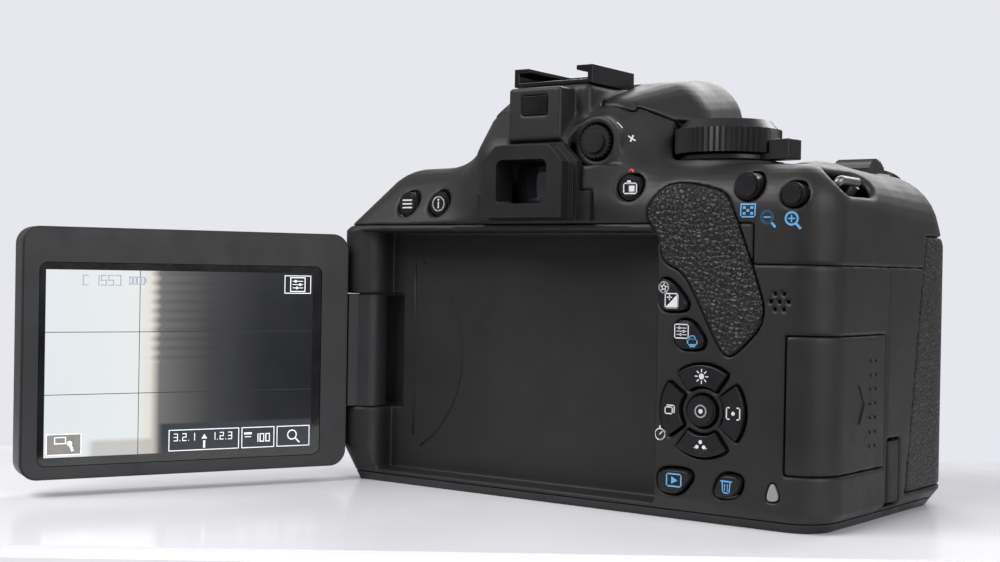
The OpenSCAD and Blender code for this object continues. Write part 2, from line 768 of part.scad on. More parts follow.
// ---------- Flaps and lugs ----------

module terminal_cover() color(rubber) from_rear() intersection() {
    difference() {
        main_form();
        block([0, -60, 0], [58.5, 0, 70]);
    }
    terminal_zone();
}

module cord_flap() color(rubber) from_rear() difference() {
    intersection() {
        grip_form();
        cord_flap_zone(-0.35);
    }
    grip_form(1.6);
}

// A bent wire loop for the neck strap at each shoulder
module strap_lugs() color(metal) from_rear() for (s = [-1, 1]) on_shoulder(s) {
    for (y = [-5.2, 5.2]) translate([0, y, -3.6]) cylinder(r = 0.95, h = 2.6, $fn = 24);
    for (y = [-1, 1]) translate([0, y * 4.2, -1]) rotate([90, 0, 90]) rotate_extrude(angle = 90, $fn = 32)
        translate([1, 0]) circle(0.95, $fn = 24);
    translate([0, -4.2, 0]) rotate([-90, 0, 0]) cylinder(r = 0.95, h = 8.4, $fn = 24);
}

// ---------- Screen ----------

// Frame of the panel: x runs out along it from the hinge line, y points out of the screen
module on_panel() from_rear() translate([hinge_at.x, hinge_at.y, 0]) rotate(panel_angle) children();

module hinge_block() color(plastic) on_panel() {
    translate([0, 0, hinge_low]) cylinder(r = hinge_r, h = hinge_high - hinge_low, $fn = 64);
    block([0, panel_back + 0.4, hinge_low], [panel_start - 0.2, glass_front, hinge_high]);
    translate([0, 0, hinge_low - 4]) cylinder(r = 2.2, h = hinge_high - hinge_low + 8, $fn = 64);
    translate([0, tilt_y, panel_z]) rotate([0, 90, 0]) cylinder(r = 2, h = panel_start + 6, $fn = 48);
}

module panel_slab(y0, y1, margin, r) translate([panel_start + margin, 0, panel_z - panel_h / 2 + margin])
    upright(y0, y1) round_rect(panel_w - 2 * margin, panel_h - 2 * margin, r);

module screen_bezel() color(plastic) on_panel() difference() {
    union() {
        panel_slab(1.4, glass_front - 0.5, 0, 4);
        panel_slab(glass_front - 0.6, glass_front, 0.5, 3.5);
    }
    translate([window_low.x, 0, window_low.y]) upright(0, 5) round_rect(window_size.x, window_size.y, 2);
}

module screen_back() color(plastic) on_panel() difference() {
    union() {
        panel_slab(panel_back + 0.7, 1.4, 0, 4);
        panel_slab(panel_back, panel_back + 0.8, 0.7, 3.3);
    }
    difference() {
        panel_slab(panel_back + 1.4, 2, 1.4, 2.6);
        block([0, -9, panel_z - 6], [panel_start + 9, 9, panel_z + 6]);
    }
    translate([0, tilt_y, panel_z]) rotate([0, 90, 0]) cylinder(r = 2.05, h = panel_start + 8, $fn = 48);
}

module screen_glass() color("#15181b") on_panel()
    translate([window_low.x + 0.1, 0, window_low.y + 0.1]) upright(1.4, glass_front - 0.25)
        round_rect(window_size.x - 0.2, window_size.y - 0.2, 1.9);

front_cover();
rear_cover();
top_cover();
bottom_cover();
grip_rubber();
thumb_rubber();
chassis();
main_board();
cover_screws();
lens_mount_ring();
mount_contacts();
lens_lock_pin();
lens_release_button();
mirror_box();
main_mirror();
sub_mirror();
focusing_screen();
pentamirror();
shutter_unit();
image_sensor();
battery();
battery_door();
card_door();
memory_card();
tripod_socket();
eyepiece_frame();
eyepiece_lens();
diopter_knob();
display_off_sensor();
hot_shoe();
flash_head();
flash_window();
flash_button();
mode_dial();
power_lever();
shutter_button();
main_dial();
iso_button();
menu_button();
info_button();
live_view_button();
ae_lock_button();
af_point_button();
exposure_button();
quick_menu_button();
key_up();
key_right();
key_down();
key_left();
set_button();
playback_button();
erase_button();
access_lamp();
terminal_cover();
cord_flap();
strap_lugs();
hinge_block();
screen_bezel();
screen_back();
screen_glass();
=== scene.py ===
"""Looks for the reflex camera: moulded covers, rubber skins, labels, screen picture, light and table."""

import math

import bmesh
import bpy
import numpy as np
import openvdb as vdb
from mathutils import Matrix, Vector
from mathutils.bvhtree import BVHTree


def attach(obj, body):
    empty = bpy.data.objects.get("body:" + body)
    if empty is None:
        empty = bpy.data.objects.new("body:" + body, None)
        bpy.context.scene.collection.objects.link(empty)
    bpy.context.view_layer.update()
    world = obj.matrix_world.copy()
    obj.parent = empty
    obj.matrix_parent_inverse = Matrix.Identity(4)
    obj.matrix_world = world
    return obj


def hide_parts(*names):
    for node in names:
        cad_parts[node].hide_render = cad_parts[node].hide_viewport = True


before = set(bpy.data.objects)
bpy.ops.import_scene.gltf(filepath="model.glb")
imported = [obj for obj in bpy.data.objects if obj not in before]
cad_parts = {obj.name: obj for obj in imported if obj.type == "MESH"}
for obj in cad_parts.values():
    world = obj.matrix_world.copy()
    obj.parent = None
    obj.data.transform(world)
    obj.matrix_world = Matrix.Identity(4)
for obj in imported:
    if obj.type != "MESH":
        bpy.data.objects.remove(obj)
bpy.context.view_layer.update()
MM = 0.001
REAR = 32.0  # the rear face stands this far behind the tripod socket, mm
BODY = "camera_body"


# ---------- Materials ----------

def nodes_of(name):
    """A new material with its node tree emptied down to the shader and the output."""
    material = bpy.data.materials.new(name)
    material.use_nodes = True
    tree = material.node_tree
    return material, tree, tree.nodes["Principled BSDF"]


def add(tree, kind, **values):
    """A node, with its inputs and properties set by name."""
    node = tree.nodes.new(kind)
    for key, value in values.items():
        if key in node.inputs:
            node.inputs[key].default_value = value
        else:
            setattr(node, key, value)
    return node


def place_coordinates(tree):
    return tree.nodes.new("ShaderNodeTexCoord").outputs["Object"]


def noise(tree, scale, detail=3.0, rough=0.5):
    node = add(tree, "ShaderNodeTexNoise", Scale=scale, Detail=detail, Roughness=rough)
    tree.links.new(place_coordinates(tree), node.inputs["Vector"])
    return node.outputs["Fac"]


def spread(tree, value, low, high, source=(0.3, 0.7)):
    """Maps a noise value to a range."""
    node = add(tree, "ShaderNodeMapRange")
    node.inputs["From Min"].default_value = source[0]
    node.inputs["From Max"].default_value = source[1]
    node.inputs["To Min"].default_value = low
    node.inputs["To Max"].default_value = high
    tree.links.new(value, node.inputs["Value"])
    return node.outputs["Result"]


def tint(tree, value, dark, light):
    node = add(tree, "ShaderNodeMix", data_type="RGBA")
    node.inputs[6].default_value = (*dark, 1)
    node.inputs[7].default_value = (*light, 1)
    tree.links.new(value, node.inputs[0])
    return node.outputs[2]


def bump(tree, height, distance, strength=1.0, normal=None):
    node = add(tree, "ShaderNodeBump", Distance=distance, Strength=strength)
    tree.links.new(height, node.inputs["Height"])
    if normal is not None:
        tree.links.new(normal, node.inputs["Normal"])
    return node.outputs["Normal"]


def moulded(name, colour, rough, grain=4200.0, depth=0.000012, vary=0.18, metallic=0.0, rough_vary=0.06,
            specular=0.3):
    """Plastic, rubber or metal with fine grain, and slow changes of tone and gloss."""
    material, tree, shader = nodes_of(name)
    slow = spread(tree, noise(tree, 60.0), 0.0, 1.0)
    dark = tuple(c * (1 - vary) for c in colour)
    light = tuple(c * (1 + vary) for c in colour)
    tree.links.new(tint(tree, slow, dark, light), shader.inputs["Base Color"])
    gloss = spread(tree, noise(tree, 170.0), rough - rough_vary, rough + rough_vary)
    tree.links.new(gloss, shader.inputs["Roughness"])
    shader.inputs["Metallic"].default_value = metallic
    shader.inputs["Specular IOR Level"].default_value = specular
    tree.links.new(bump(tree, noise(tree, grain, 2.0), depth), shader.inputs["Normal"])
    return material


def leather(name, colour, rough, cell, depth):
    """Rubber moulded with a leather grain: raised pebbles between creases, with painted shade darkening the
    creases.
    """
    material, tree, shader = nodes_of(name)
    coordinates = place_coordinates(tree)
    warp = add(tree, "ShaderNodeTexNoise", Scale=cell * 0.6, Detail=2.0)
    tree.links.new(coordinates, warp.inputs["Vector"])
    mixed = add(tree, "ShaderNodeVectorMath", operation="MULTIPLY_ADD")
    mixed.inputs[1].default_value = (0.0008, 0.0008, 0.0008)
    tree.links.new(warp.outputs["Color"], mixed.inputs[0])
    tree.links.new(coordinates, mixed.inputs[2])
    cells = add(tree, "ShaderNodeTexVoronoi", feature="DISTANCE_TO_EDGE", Scale=cell)
    tree.links.new(mixed.outputs["Vector"], cells.inputs["Vector"])
    pebble = spread(tree, cells.outputs["Distance"], 0.0, 1.0, (0.0, 0.28))
    # Painted shade: the creases between the pebbles are darkened in the colour as well as sunk by the bump.
    dark = tuple(c * 0.7 for c in colour)
    tree.links.new(tint(tree, pebble, dark, colour), shader.inputs["Base Color"])
    shader.inputs["Specular IOR Level"].default_value = 0.3
    gloss = spread(tree, noise(tree, 400.0), rough - 0.07, rough + 0.07)
    tree.links.new(gloss, shader.inputs["Roughness"])
    fine = bump(tree, noise(tree, 2600.0, 2.0), 0.00003)
    tree.links.new(bump(tree, pebble, depth, 1.0, fine), shader.inputs["Normal"])
    return material


def lens_glass(name, colour, rough=0.03, coat=0.6, specular=0.5):
    """Coated glass over a dark inside: a deep tone, a thin colour cast and a hard gloss."""
    material, tree, shader = nodes_of(name)
    slow = spread(tree, noise(tree, 120.0), 0.0, 1.0)
    light = tuple(c * 1.8 + 0.01 for c in colour)
    tree.links.new(tint(tree, slow, colour, light), shader.inputs["Base Color"])
    gloss = spread(tree, noise(tree, 300.0), rough, rough + 0.04)
    tree.links.new(gloss, shader.inputs["Roughness"])
    shader.inputs["Coat Weight"].default_value = coat
    shader.inputs["Specular IOR Level"].default_value = specular
    shader.inputs["Coat Roughness"].default_value = 0.03
    tree.links.new(bump(tree, noise(tree, 500.0), 0.000004), shader.inputs["Normal"])
    return material


def printed(name, colour, strength=0.0):
    """Ink or a lit mark: an even tone with slight wear."""
    material, tree, shader = nodes_of(name)
    worn = spread(tree, noise(tree, 900.0), 0.0, 1.0)
    dark = tuple(c * 0.86 for c in colour)
    tone = tint(tree, worn, dark, colour)
    tree.links.new(tone, shader.inputs["Base Color"])
    tree.links.new(spread(tree, noise(tree, 500.0), 0.4, 0.6), shader.inputs["Roughness"])
    tree.links.new(bump(tree, noise(tree, 3000.0), 0.000005), shader.inputs["Normal"])
    if strength:
        tree.links.new(tone, shader.inputs["Emission Color"])
        shader.inputs["Emission Strength"].default_value = strength
    return material


PLASTIC = moulded("body_plastic", (0.0112, 0.0112, 0.0114), 0.5)
PANEL = moulded("panel_plastic", (0.0165, 0.0172, 0.0182), 0.44)
BASE = moulded("base_plastic", (0.012, 0.012, 0.013), 0.5)
BUTTON = moulded("button_plastic", (0.0085, 0.0085, 0.0095), 0.3, grain=2500.0, depth=0.000004)
DIAL = moulded("dial_plastic", (0.010, 0.010, 0.011), 0.36, grain=3000.0, depth=0.000006)
SOFT = moulded("soft_rubber", (0.011, 0.011, 0.0115), 0.58)
EYE = moulded("eyepiece_plastic", (0.010, 0.0105, 0.011), 0.38)
GRIP = leather("grip_leather", (0.0108, 0.0104, 0.0106), 0.46, 900.0, 0.00020)
SHOE = moulded("shoe_enamel", (0.008, 0.008, 0.009), 0.16, grain=1500.0, depth=0.000003)
STEEL = moulded("steel", (0.62, 0.61, 0.6), 0.3, metallic=1.0, vary=0.08, depth=0.000006)
SCREW = moulded("screw_steel", (0.3, 0.3, 0.31), 0.35, metallic=1.0)
LUG = moulded("lug_steel", (0.16, 0.155, 0.15), 0.45, metallic=1.0)
ALLOY = moulded("frame_alloy", (0.45, 0.46, 0.47), 0.45, metallic=1.0)
BOARD = moulded("board_green", (0.02, 0.12, 0.05), 0.4)
GOLD = moulded("contact_gold", (0.75, 0.52, 0.2), 0.25, metallic=1.0)
INNER = moulded("inner_black", (0.010, 0.010, 0.011), 0.8)
MIRROR = moulded("mirror_face", (0.82, 0.84, 0.87), 0.05, metallic=1.0, vary=0.02, rough_vary=0.02,
                 depth=0.000001)
OPTIC = lens_glass("finder_glass", (0.006, 0.005, 0.009))
FROST = moulded("frosted_window", (0.62, 0.65, 0.68), 0.25)
SENSOR = lens_glass("sensor_filter", (0.03, 0.10, 0.09))
GLASS = lens_glass("screen_glass", (0.002, 0.002, 0.0025), 0.06, 0.1, 0.25)
SHUTTER = moulded("shutter_blades", (0.05, 0.05, 0.055), 0.4, metallic=0.6)
CELL_CASE = moulded("battery_case", (0.045, 0.045, 0.048), 0.5)
CARD = moulded("card_case", (0.03, 0.06, 0.15), 0.5)
LAMP = moulded("lamp_window", (0.20, 0.20, 0.205), 0.4)
WHITE = printed("label_white", (0.62, 0.63, 0.64))
BLUE = printed("label_blue", (0.10, 0.33, 0.62))
RED = printed("label_red", (0.62, 0.03, 0.03))
LIT = printed("screen_white", (0.75, 0.78, 0.80), 0.55)
PALE = printed("screen_count_blue", (0.30, 0.35, 0.42), 0.4)
SHADE = printed("screen_shade", (0.17, 0.16, 0.15), 0.5)
LINE = moulded("screen_line", (0.015, 0.017, 0.02), 0.4)

NODE_LOOK = {
    "bottom_cover": (BASE, 0.25), "chassis": (ALLOY, 0.15), "main_board": (BOARD, 0.1),
    "cover_screws": (SCREW, 0.06), "lens_mount_ring": (STEEL, 0.12), "mount_contacts": (GOLD, 0.1),
    "lens_lock_pin": (STEEL, 0.2), "lens_release_button": (BUTTON, 0.3), "mirror_box": (INNER, 0.2),
    "main_mirror": (MIRROR, 0.08), "sub_mirror": (MIRROR, 0.08), "focusing_screen": (FROST, 0.1),
    "pentamirror": (OPTIC, 0.3), "shutter_unit": (SHUTTER, 0.1), "image_sensor": (SENSOR, 0.1),
    "battery": (CELL_CASE, 0.4), "battery_door": (BASE, 0.2), "memory_card": (CARD, 0.1),
    "tripod_socket": (STEEL, 0.15), "eyepiece_frame": (EYE, 0.5), "eyepiece_lens": (OPTIC, 0.0),
    "diopter_knob": (DIAL, 0.12), "display_off_sensor": (GLASS, 0.1), "hot_shoe": (SHOE, 0.22),
    "flash_window": (FROST, 0.2), "flash_button": (BUTTON, 0.3), "mode_dial": (DIAL, 0.12),
    "power_lever": (DIAL, 0.3), "shutter_button": (BUTTON, 0.25), "main_dial": (DIAL, 0.12),
    "iso_button": (BUTTON, 0.25), "menu_button": (BUTTON, 0.3), "info_button": (BUTTON, 0.3),
    "live_view_button": (BUTTON, 0.3), "ae_lock_button": (BUTTON, 0.3), "af_point_button": (BUTTON, 0.3),
    "exposure_button": (BUTTON, 0.22), "quick_menu_button": (BUTTON, 0.22), "key_up": (BUTTON, 0.22),
    "key_right": (BUTTON, 0.22), "key_down": (BUTTON, 0.22), "key_left": (BUTTON, 0.22),
    "set_button": (BUTTON, 0.3), "playback_button": (BUTTON, 0.22), "erase_button": (BUTTON, 0.22),
    "access_lamp": (LAMP, 0.1), "strap_lugs": (LUG, 0.0), "hinge_block": (PANEL, 0.4),
    "screen_bezel": (PANEL, 0.35), "screen_back": (PANEL, 0.5), "screen_glass": (GLASS, 0.1),
}


def dress(node, material, width):
    """Gives a CAD node its material, and soft edges of this width in mm."""
    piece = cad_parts[node]
    piece.data.materials.clear()
    piece.data.materials.append(material)
    if "custom_normal" in piece.data.attributes:
        piece.data.attributes.remove(piece.data.attributes["custom_normal"])
    piece.data.polygons.foreach_set("use_smooth", [True] * len(piece.data.polygons))
    weld = piece.modifiers.new("weld", "WELD")
    weld.merge_threshold = 0.000002
    edges = piece.modifiers.new("soft_edges", "BEVEL")
    edges.width = max(width, 0.02) * MM
    edges.segments = 2
    edges.limit_method = "ANGLE"
    edges.angle_limit = math.radians(32)
    edges.harden_normals = True


# ---------- Solid fields: distances in mm from a surface, negative inside, on one shared grid ----------
# Here y runs back from the rear face, so the lens side is negative, as in the camera's own drawing.

CELL = 0.5
LOW = np.array([-76.0, -74.0, -2.0])
HIGH = np.array([62.0, 4.0, 102.0])
COUNT = ((HIGH - LOW) / CELL).astype(int)
START = (LOW / CELL).astype(int)
BIG = 200.0


class Region:
    """A box of the shared grid, with its x, y and z places ready to combine."""

    def __init__(self, low, high):
        self.first = np.maximum(((np.array(low) - LOW) / CELL).astype(int), 0)
        self.last = np.minimum(((np.array(high) - LOW) / CELL).astype(int) + 1, COUNT)
        axes = [((START[i] + np.arange(self.first[i], self.last[i])) * CELL).astype(np.float32)
                for i in range(3)]
        self.x = axes[0][:, None, None]
        self.y = axes[1][None, :, None]
        self.z = axes[2][None, None, :]

    def cut(self, field):
        return field[tuple(slice(a, b) for a, b in zip(self.first, self.last))]

    def box(self, low, high, r=0.0):
        parts = []
        for place, a, b in zip((self.x, self.y, self.z), low, high):
            parts.append(np.abs(place - (a + b) / 2) - (b - a) / 2 + r)
        outside = np.sqrt(sum(np.maximum(p, 0) ** 2 for p in parts))
        inside = np.minimum(np.maximum(np.maximum(parts[0], parts[1]), parts[2]), 0)
        return outside + inside - r

    def rod_y(self, at, r, y0, y1):
        across = np.hypot(self.x - at[0], self.z - at[1]) - r
        return np.maximum(across, np.abs(self.y - (y0 + y1) / 2) - (y1 - y0) / 2)

    def rod_z(self, at, r, z0, z1):
        across = np.hypot(self.x - at[0], self.y - at[1]) - r
        return np.maximum(across, np.abs(self.z - (z0 + z1) / 2) - (z1 - z0) / 2)

    def rod(self, low, direction, r, length):
        d = Vector(direction).normalized()
        px, py, pz = self.x - low[0], self.y - low[1], self.z - low[2]
        along = px * d.x + py * d.y + pz * d.z
        across = np.sqrt(np.maximum(px * px + py * py + pz * pz - along * along, 0)) - r
        return np.maximum(across, np.abs(along - length / 2) - length / 2)

    def capsule(self, a, b, r):
        a, b = np.array(a, float), np.array(b, float)
        d = b - a
        px, py, pz = self.x - a[0], self.y - a[1], self.z - a[2]
        t = np.clip((px * d[0] + py * d[1] + pz * d[2]) / (d @ d), 0, 1)
        return np.sqrt((px - t * d[0]) ** 2 + (py - t * d[1]) ** 2 + (pz - t * d[2]) ** 2) - r

    def upright(self, corners, y0, y1):
        flat = polygon(corners, self.x[:, 0, :], self.z[0])[:, None, :]
        return np.maximum(flat, np.abs(self.y - (y0 + y1) / 2) - (y1 - y0) / 2)


def polygon(corners, u, v):
    """Signed distance to a flat outline."""
    u, v = np.broadcast_arrays(u, v)
    best = np.full(u.shape, 1e9, np.float32)
    inside = np.zeros(u.shape, bool)
    for (ax, ay), (bx, by) in zip(corners, corners[1:] + corners[:1]):
        ex, ey = bx - ax, by - ay
        wx, wy = u - ax, v - ay
        t = np.clip((wx * ex + wy * ey) / (ex * ex + ey * ey), 0, 1)
        best = np.minimum(best, (wx - t * ex) ** 2 + (wy - t * ey) ** 2)
        if ay != by:
            crosses = (ay > v) != (by > v)
            inside ^= crosses & (u < ax + (v - ay) * ex / ey)
    return np.where(inside, -1, 1) * np.sqrt(best)


def both(*fields):
    out = fields[0]
    for f in fields[1:]:
        out = np.maximum(out, f)
    return out


def either(*fields):
    out = fields[0]
    for f in fields[1:]:
        out = np.minimum(out, f)
    return out


def blend(a, b, k):
    """A union with a fillet."""
    h = np.maximum(k - np.abs(a - b), 0)
    return np.minimum(a, b) - h * h / (4 * np.maximum(k, 1e-6))


def trim(a, b, k):
    """What is in both, with the edge between them rounded."""
    return -blend(-a, -b, k)


def carve(a, hole, k=0.5):
    return trim(a, -hole, k)


def ball_points(at, r, rings=18):
    points = []
    for i in range(rings + 1):
        t = math.pi * i / rings
        turn = 1 if i in (0, rings) else 2 * rings
        for j in range(turn):
            p = 2 * math.pi * j / turn
            points.append((at[0] + r * math.sin(t) * math.cos(p), at[1] + r * math.sin(t) * math.sin(p),
                           at[2] + r * math.cos(t)))
    return points


def circle_points(at, r, normal="z", count=48):
    turns = [2 * math.pi * i / count for i in range(count)]
    if normal == "z":
        return [(at[0] + r * math.cos(t), at[1] + r * math.sin(t), at[2]) for t in turns]
    return [(at[0] + r * math.cos(t), at[1], at[2] + r * math.sin(t)) for t in turns]


def post_points(at, r, top, draw_in, draw_up):
    return (circle_points((*at, 0), r - draw_in) + circle_points((*at, draw_up), r)
            + circle_points((*at, top), r))


def hull_field(points):
    """Distance field of the convex hull of these points, clipped at a few millimetres."""
    mesh = bmesh.new()
    for p in points:
        mesh.verts.new(p)
    result = bmesh.ops.convex_hull(mesh, input=mesh.verts, use_existing_faces=False)
    loose = {g for g in result["geom_interior"] + result["geom_unused"] if isinstance(g, bmesh.types.BMVert)}
    bmesh.ops.delete(mesh, geom=list(loose), context="VERTS")
    bmesh.ops.triangulate(mesh, faces=mesh.faces)
    mesh.verts.index_update()
    corners = np.array([v.co[:] for v in mesh.verts], np.float32)
    faces = np.array([[v.index for v in f.verts] for f in mesh.faces], np.uint32)
    mesh.free()
    grid = vdb.FloatGrid.createLevelSetFromPolygons(
        corners, triangles=faces, transform=vdb.createLinearTransform(voxelSize=CELL), halfWidth=13)
    field = np.zeros(tuple(COUNT), np.float32)
    grid.copyToArray(field, ijk=tuple(int(v) for v in START))
    return field


def soft(corners, share=0.22, times=2):
    """A closed outline with its corners cut down, which leaves them round."""
    for _ in range(times):
        ring = []
        for (ax, ay), (bx, by) in zip(corners, corners[1:] + corners[:1]):
            ring.append((ax + (bx - ax) * share, ay + (by - ay) * share))
            ring.append((bx + (ax - bx) * share, by + (ay - by) * share))
        corners = ring
    return corners


HINGE_AT = (54.4, -5.6)
KNUCKLE_R = 5.6
LENS_Z = 41.0
MOUNT_Y = -61.0


def main_points():
    points = post_points(HINGE_AT, KNUCKLE_R, 62, 4.5, 9)
    points += post_points((50, -40), 10, 62, 6, 9)
    points += post_points((-60, -10), 10, 60, 3, 4) + post_points((-55, -40), 10, 60, 3, 4)
    for y in (-17, -35):
        points += ball_points((43, y, 64), 14)
    for x in (-60, -30):
        points += ball_points((x, -10, 66), 10)
    return points + ball_points((18, -13, 68), 10) + ball_points((-48, -38, 66), 12)


def grip_points():
    points = post_points((-59, -57), 14, 60, 3, 4) + post_points((-50, -61), 10, 60, 3, 4)
    points += post_points((-60, -10), 10, 60, 3, 4) + post_points((-46, -34), 6, 60, 3, 4)
    return points + ball_points((-59, -54, 62.5), 14) + ball_points((-51, -46, 66), 12) + ball_points(
        (-60, -10, 66), 10)


def mount_points():
    points = circle_points((0, MOUNT_Y + 3, LENS_Z), 37, "y", 96)
    points += circle_points((0, -46, LENS_Z), 37, "y", 96)
    points += circle_points((0, MOUNT_Y + 1.5, LENS_Z), 35.5, "y", 96)
    for s in (-1, 1):
        points += ball_points((s * 18, -48, 78), 9)
    return points


def hump_points():
    points = []
    for s in (-1, 1):
        points += ball_points((s * 18.5, -28, 87), 10.5) + ball_points((s * 17, -44, 88.8), 11)
        points += ball_points((s * 24, -16, 68), 8) + ball_points((s * 25, -46, 70), 8)
        points += ball_points((s * 13.5, -14, 84.5), 8.5)
        points += ball_points((s * 12, -6, 70), 8) + ball_points((s * 12, -6, 78), 8)
    return points


MAIN = hull_field(main_points())
GRIP_FORM = hull_field(grip_points())
MOUNT = hull_field(mount_points())
HUMP = hull_field(hump_points())
ALL = Region(LOW, HIGH - CELL)
GRIP_FILLET = 5.0 * np.clip((-22 - ALL.y) / 14, 0, 1)
FORM = blend(blend(blend(MAIN, GRIP_FORM, GRIP_FILLET), MOUNT, 3.0), HUMP, 6.0)


def piece_from_field(name, region, field, material, nodes, body=BODY):
    """Meshes the zero surface of a field, shades it by the field's slope, and lets it stand for CAD nodes."""
    grid = vdb.FloatGrid(6.0)
    grid.transform = vdb.createLinearTransform(voxelSize=CELL)
    first = START + region.first
    values = np.ascontiguousarray(np.broadcast_to(field, tuple(region.last - region.first)), np.float32)
    edge = np.full(tuple(np.array(values.shape) + 2), 6.0, np.float32)
    edge[1:-1, 1:-1, 1:-1] = values
    grid.copyFromArray(edge, ijk=tuple(int(v) - 1 for v in first), tolerance=0)
    points, quads = grid.convertToQuads(0.0)
    slopes = np.stack(np.gradient(edge), -1)
    normals = sample(slopes, points / CELL - (first - 1))
    normals /= np.maximum(np.linalg.norm(normals, axis=1, keepdims=True), 1e-9)
    a, b, c = (points[quads[:, i]] for i in (0, 1, 2))
    facing = np.einsum("ij,ij->i", np.cross(b - a, c - a), normals[quads[:, 0]]).sum()
    if facing < 0:
        quads = quads[:, ::-1]
    mesh = bpy.data.meshes.new(name)
    places = (points + np.array([0, REAR, 0])) * MM
    mesh.from_pydata(places.tolist(), [], quads.tolist())
    mesh.materials.append(material)
    mesh.shade_smooth()
    mesh.normals_split_custom_set_from_vertices(normals.tolist())
    piece = bpy.data.objects.new(name, mesh)
    bpy.context.scene.collection.objects.link(piece)
    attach(piece, body)
    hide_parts(*nodes)
    return piece


def sample(field, places):
    """Linear interpolation of a grid at fractional places."""
    base = np.clip(np.floor(places).astype(int), 0, np.array(field.shape[:3]) - 2)
    f = places - base
    out = 0
    for dx in (0, 1):
        for dy in (0, 1):
            for dz in (0, 1):
                weight = (abs(1 - dx - f[:, 0]) * abs(1 - dy - f[:, 1]) * abs(1 - dz - f[:, 2]))[:, None]
                out = out + weight * field[base[:, 0] + dx, base[:, 1] + dy, base[:, 2] + dz]
    return out


# ---------- Places shared by the covers ----------

TOP_SEAM = 63.3
SIDE_SEAM = 54.8
WALL = 2.0
RECESS = (-30.6, -9.0, 3.2, 61.6)
HINGE_LOW, HINGE_HIGH = 18.6, 46.2
GAP = 0.35
KEYS_AT = (-42.2, 23.9)
KEYS_R = 9.65
FLASH_AXIS = (-9.6, 90.4)
FLASH_SEAM = 85.0
DIAL_AT = (-37.2, -20.0)
DIAL_R = 11.8
SHOE_Z = 95.3
SHOE_REAR = -4.0
SENSOR_FACE = 2.5
EYEPIECE_SEAT = 1.4
WHEEL_AT = (-57.0, -47.0, 72.7)
SHUTTER_AT = (-57.0, -61.0, 74.5)
SHUTTER_UP = (0.0, -math.sin(math.radians(28)), math.cos(math.radians(28)))
ISO_AT = (-48.5, -52.0)
DIOPTER_AT = (-13.6, 81.6)
EYEPIECE_Z = 72.4
MENU, INFO, LIVE = (40, 68.5, 2.9), (30.2, 68.4, 2.9), (-23.1, 71.2, 2.7)
LOCK, POINT = (-51.5, 71, 2.8), (-61.6, 69.1, 2.45)
THUMB = soft([(-27.1, 65.6), (-32.3, 72.8), (-46.5, 70.2), (-48.9, 65), (-52.6, 55.3), (-56.7, 43.5),
              (-48.6, 35.1), (-46, 36.5), (-40.5, 47.2), (-37, 53), (-32, 55.1),
              (-30.9, 60.8)])
SHAPED = {
    "exposure": [(-31.3, 44.8), (-31.5, 51.6), (-34.5, 51.1), (-38.6, 46.6), (-37.9, 44.8)],
    "quick": [(-35.7, 36.8), (-35.6, 42.6), (-39.4, 42.9), (-42.7, 38.8), (-41.8, 36.8)],
    "playback": [(-32, 6.3), (-31.9, 11.2), (-41.2, 11.2), (-37.3, 5.7)],
    "erase": [(-44.8, 5.9), (-46.5, 11.3), (-52, 11), (-50.7, 6.7)],
    "lamp": [(-58.2, 10.9), (-56.8, 6.5), (-59.9, 6.8)],
}
SPEAKER_AT = (-59.0, 47.3)


def below_seam(g):
    return either(g.z - SIDE_SEAM, both(-53 - g.x, g.z - TOP_SEAM))


def rear_plan(g):
    """Behind the seam between the front and rear covers."""
    return either(-18 - g.y, both(g.x, -29.5 - g.y))


def shell(form):
    return both(form, -(form + WALL))


def card_zone(g, grow=0.0):
    return g.box((-BIG, -28.3 - grow, 12 - grow), (-60.6 + grow, BIG, 40.3 + grow))


def cord_zone(g, grow=0.0):
    return g.box((-BIG, -36.5 - grow, 3.4 - grow), (-60, -30.5 + grow, 17.5 + grow))


def terminal_zone(g, grow=0.0):
    return g.box((55, -39 - grow, 20 - grow), (BIG, -20 + grow, 58 + grow))


def dial_room(g, gap):
    """Room for the mode dial beside the hump."""
    return g.rod_z(DIAL_AT, DIAL_R + gap, 77.5, 86.8 + gap)


def key_outline(u, v, quarter):
    """One key of the ring. Spokes of the cover stand between the keys."""
    turn = math.radians(90 * quarter)
    across, up = math.cos(turn), math.sin(turn)
    wedge = [(KEYS_AT[0] + a * across - b * up, KEYS_AT[1] + a * up + b * across)
             for a, b in ((0, 0), (20, -14.5), (20, 14.5))]
    ring = np.hypot(u - KEYS_AT[0], v - KEYS_AT[1])
    return both(ring - KEYS_R, KEYS_R - 4.4 - ring, polygon(wedge, u, v))


def eyepiece_base(u, v):
    """The eyepiece frame's foot: an outline with cut corners, and a short rail on each side."""
    high = [(-12.3, 63.9), (12.3, 63.9), (12.3, 77.0), (8.1, 81.2), (-8.1, 81.2), (-12.3, 77.0)]
    return either(polygon(high, u, v), both(np.abs(u) - 15.2, np.abs(v - 67.2) - 3.3))


def flash_zone(g, gap=0.0):
    corners = [(FLASH_AXIS[0], FLASH_AXIS[1] + gap), (-22, FLASH_SEAM + gap), (-BIG, FLASH_SEAM + gap),
               (-BIG, BIG), (FLASH_AXIS[0], BIG)]
    flat = polygon(corners, g.y[0], g.z[0])[None]
    knuckle = np.hypot(g.y - FLASH_AXIS[0], g.z - FLASH_AXIS[1]) - (1.75 - gap)
    middle = g.box((-11.3 - gap, -34.7 - 5 * gap, 0), (11.3 + gap, BIG, BIG))
    return both(either(flat, knuckle), -middle)


def skin_zone(g, grow=0.0):
    """The stretch of the grip that the leather-textured skin covers."""
    back = -40 - 9 * np.clip((g.z - 5) / 57, 0, 1)
    return both(g.x + 38 - grow, g.y - back - grow, 5 - grow - g.z, g.z - 62 - grow)


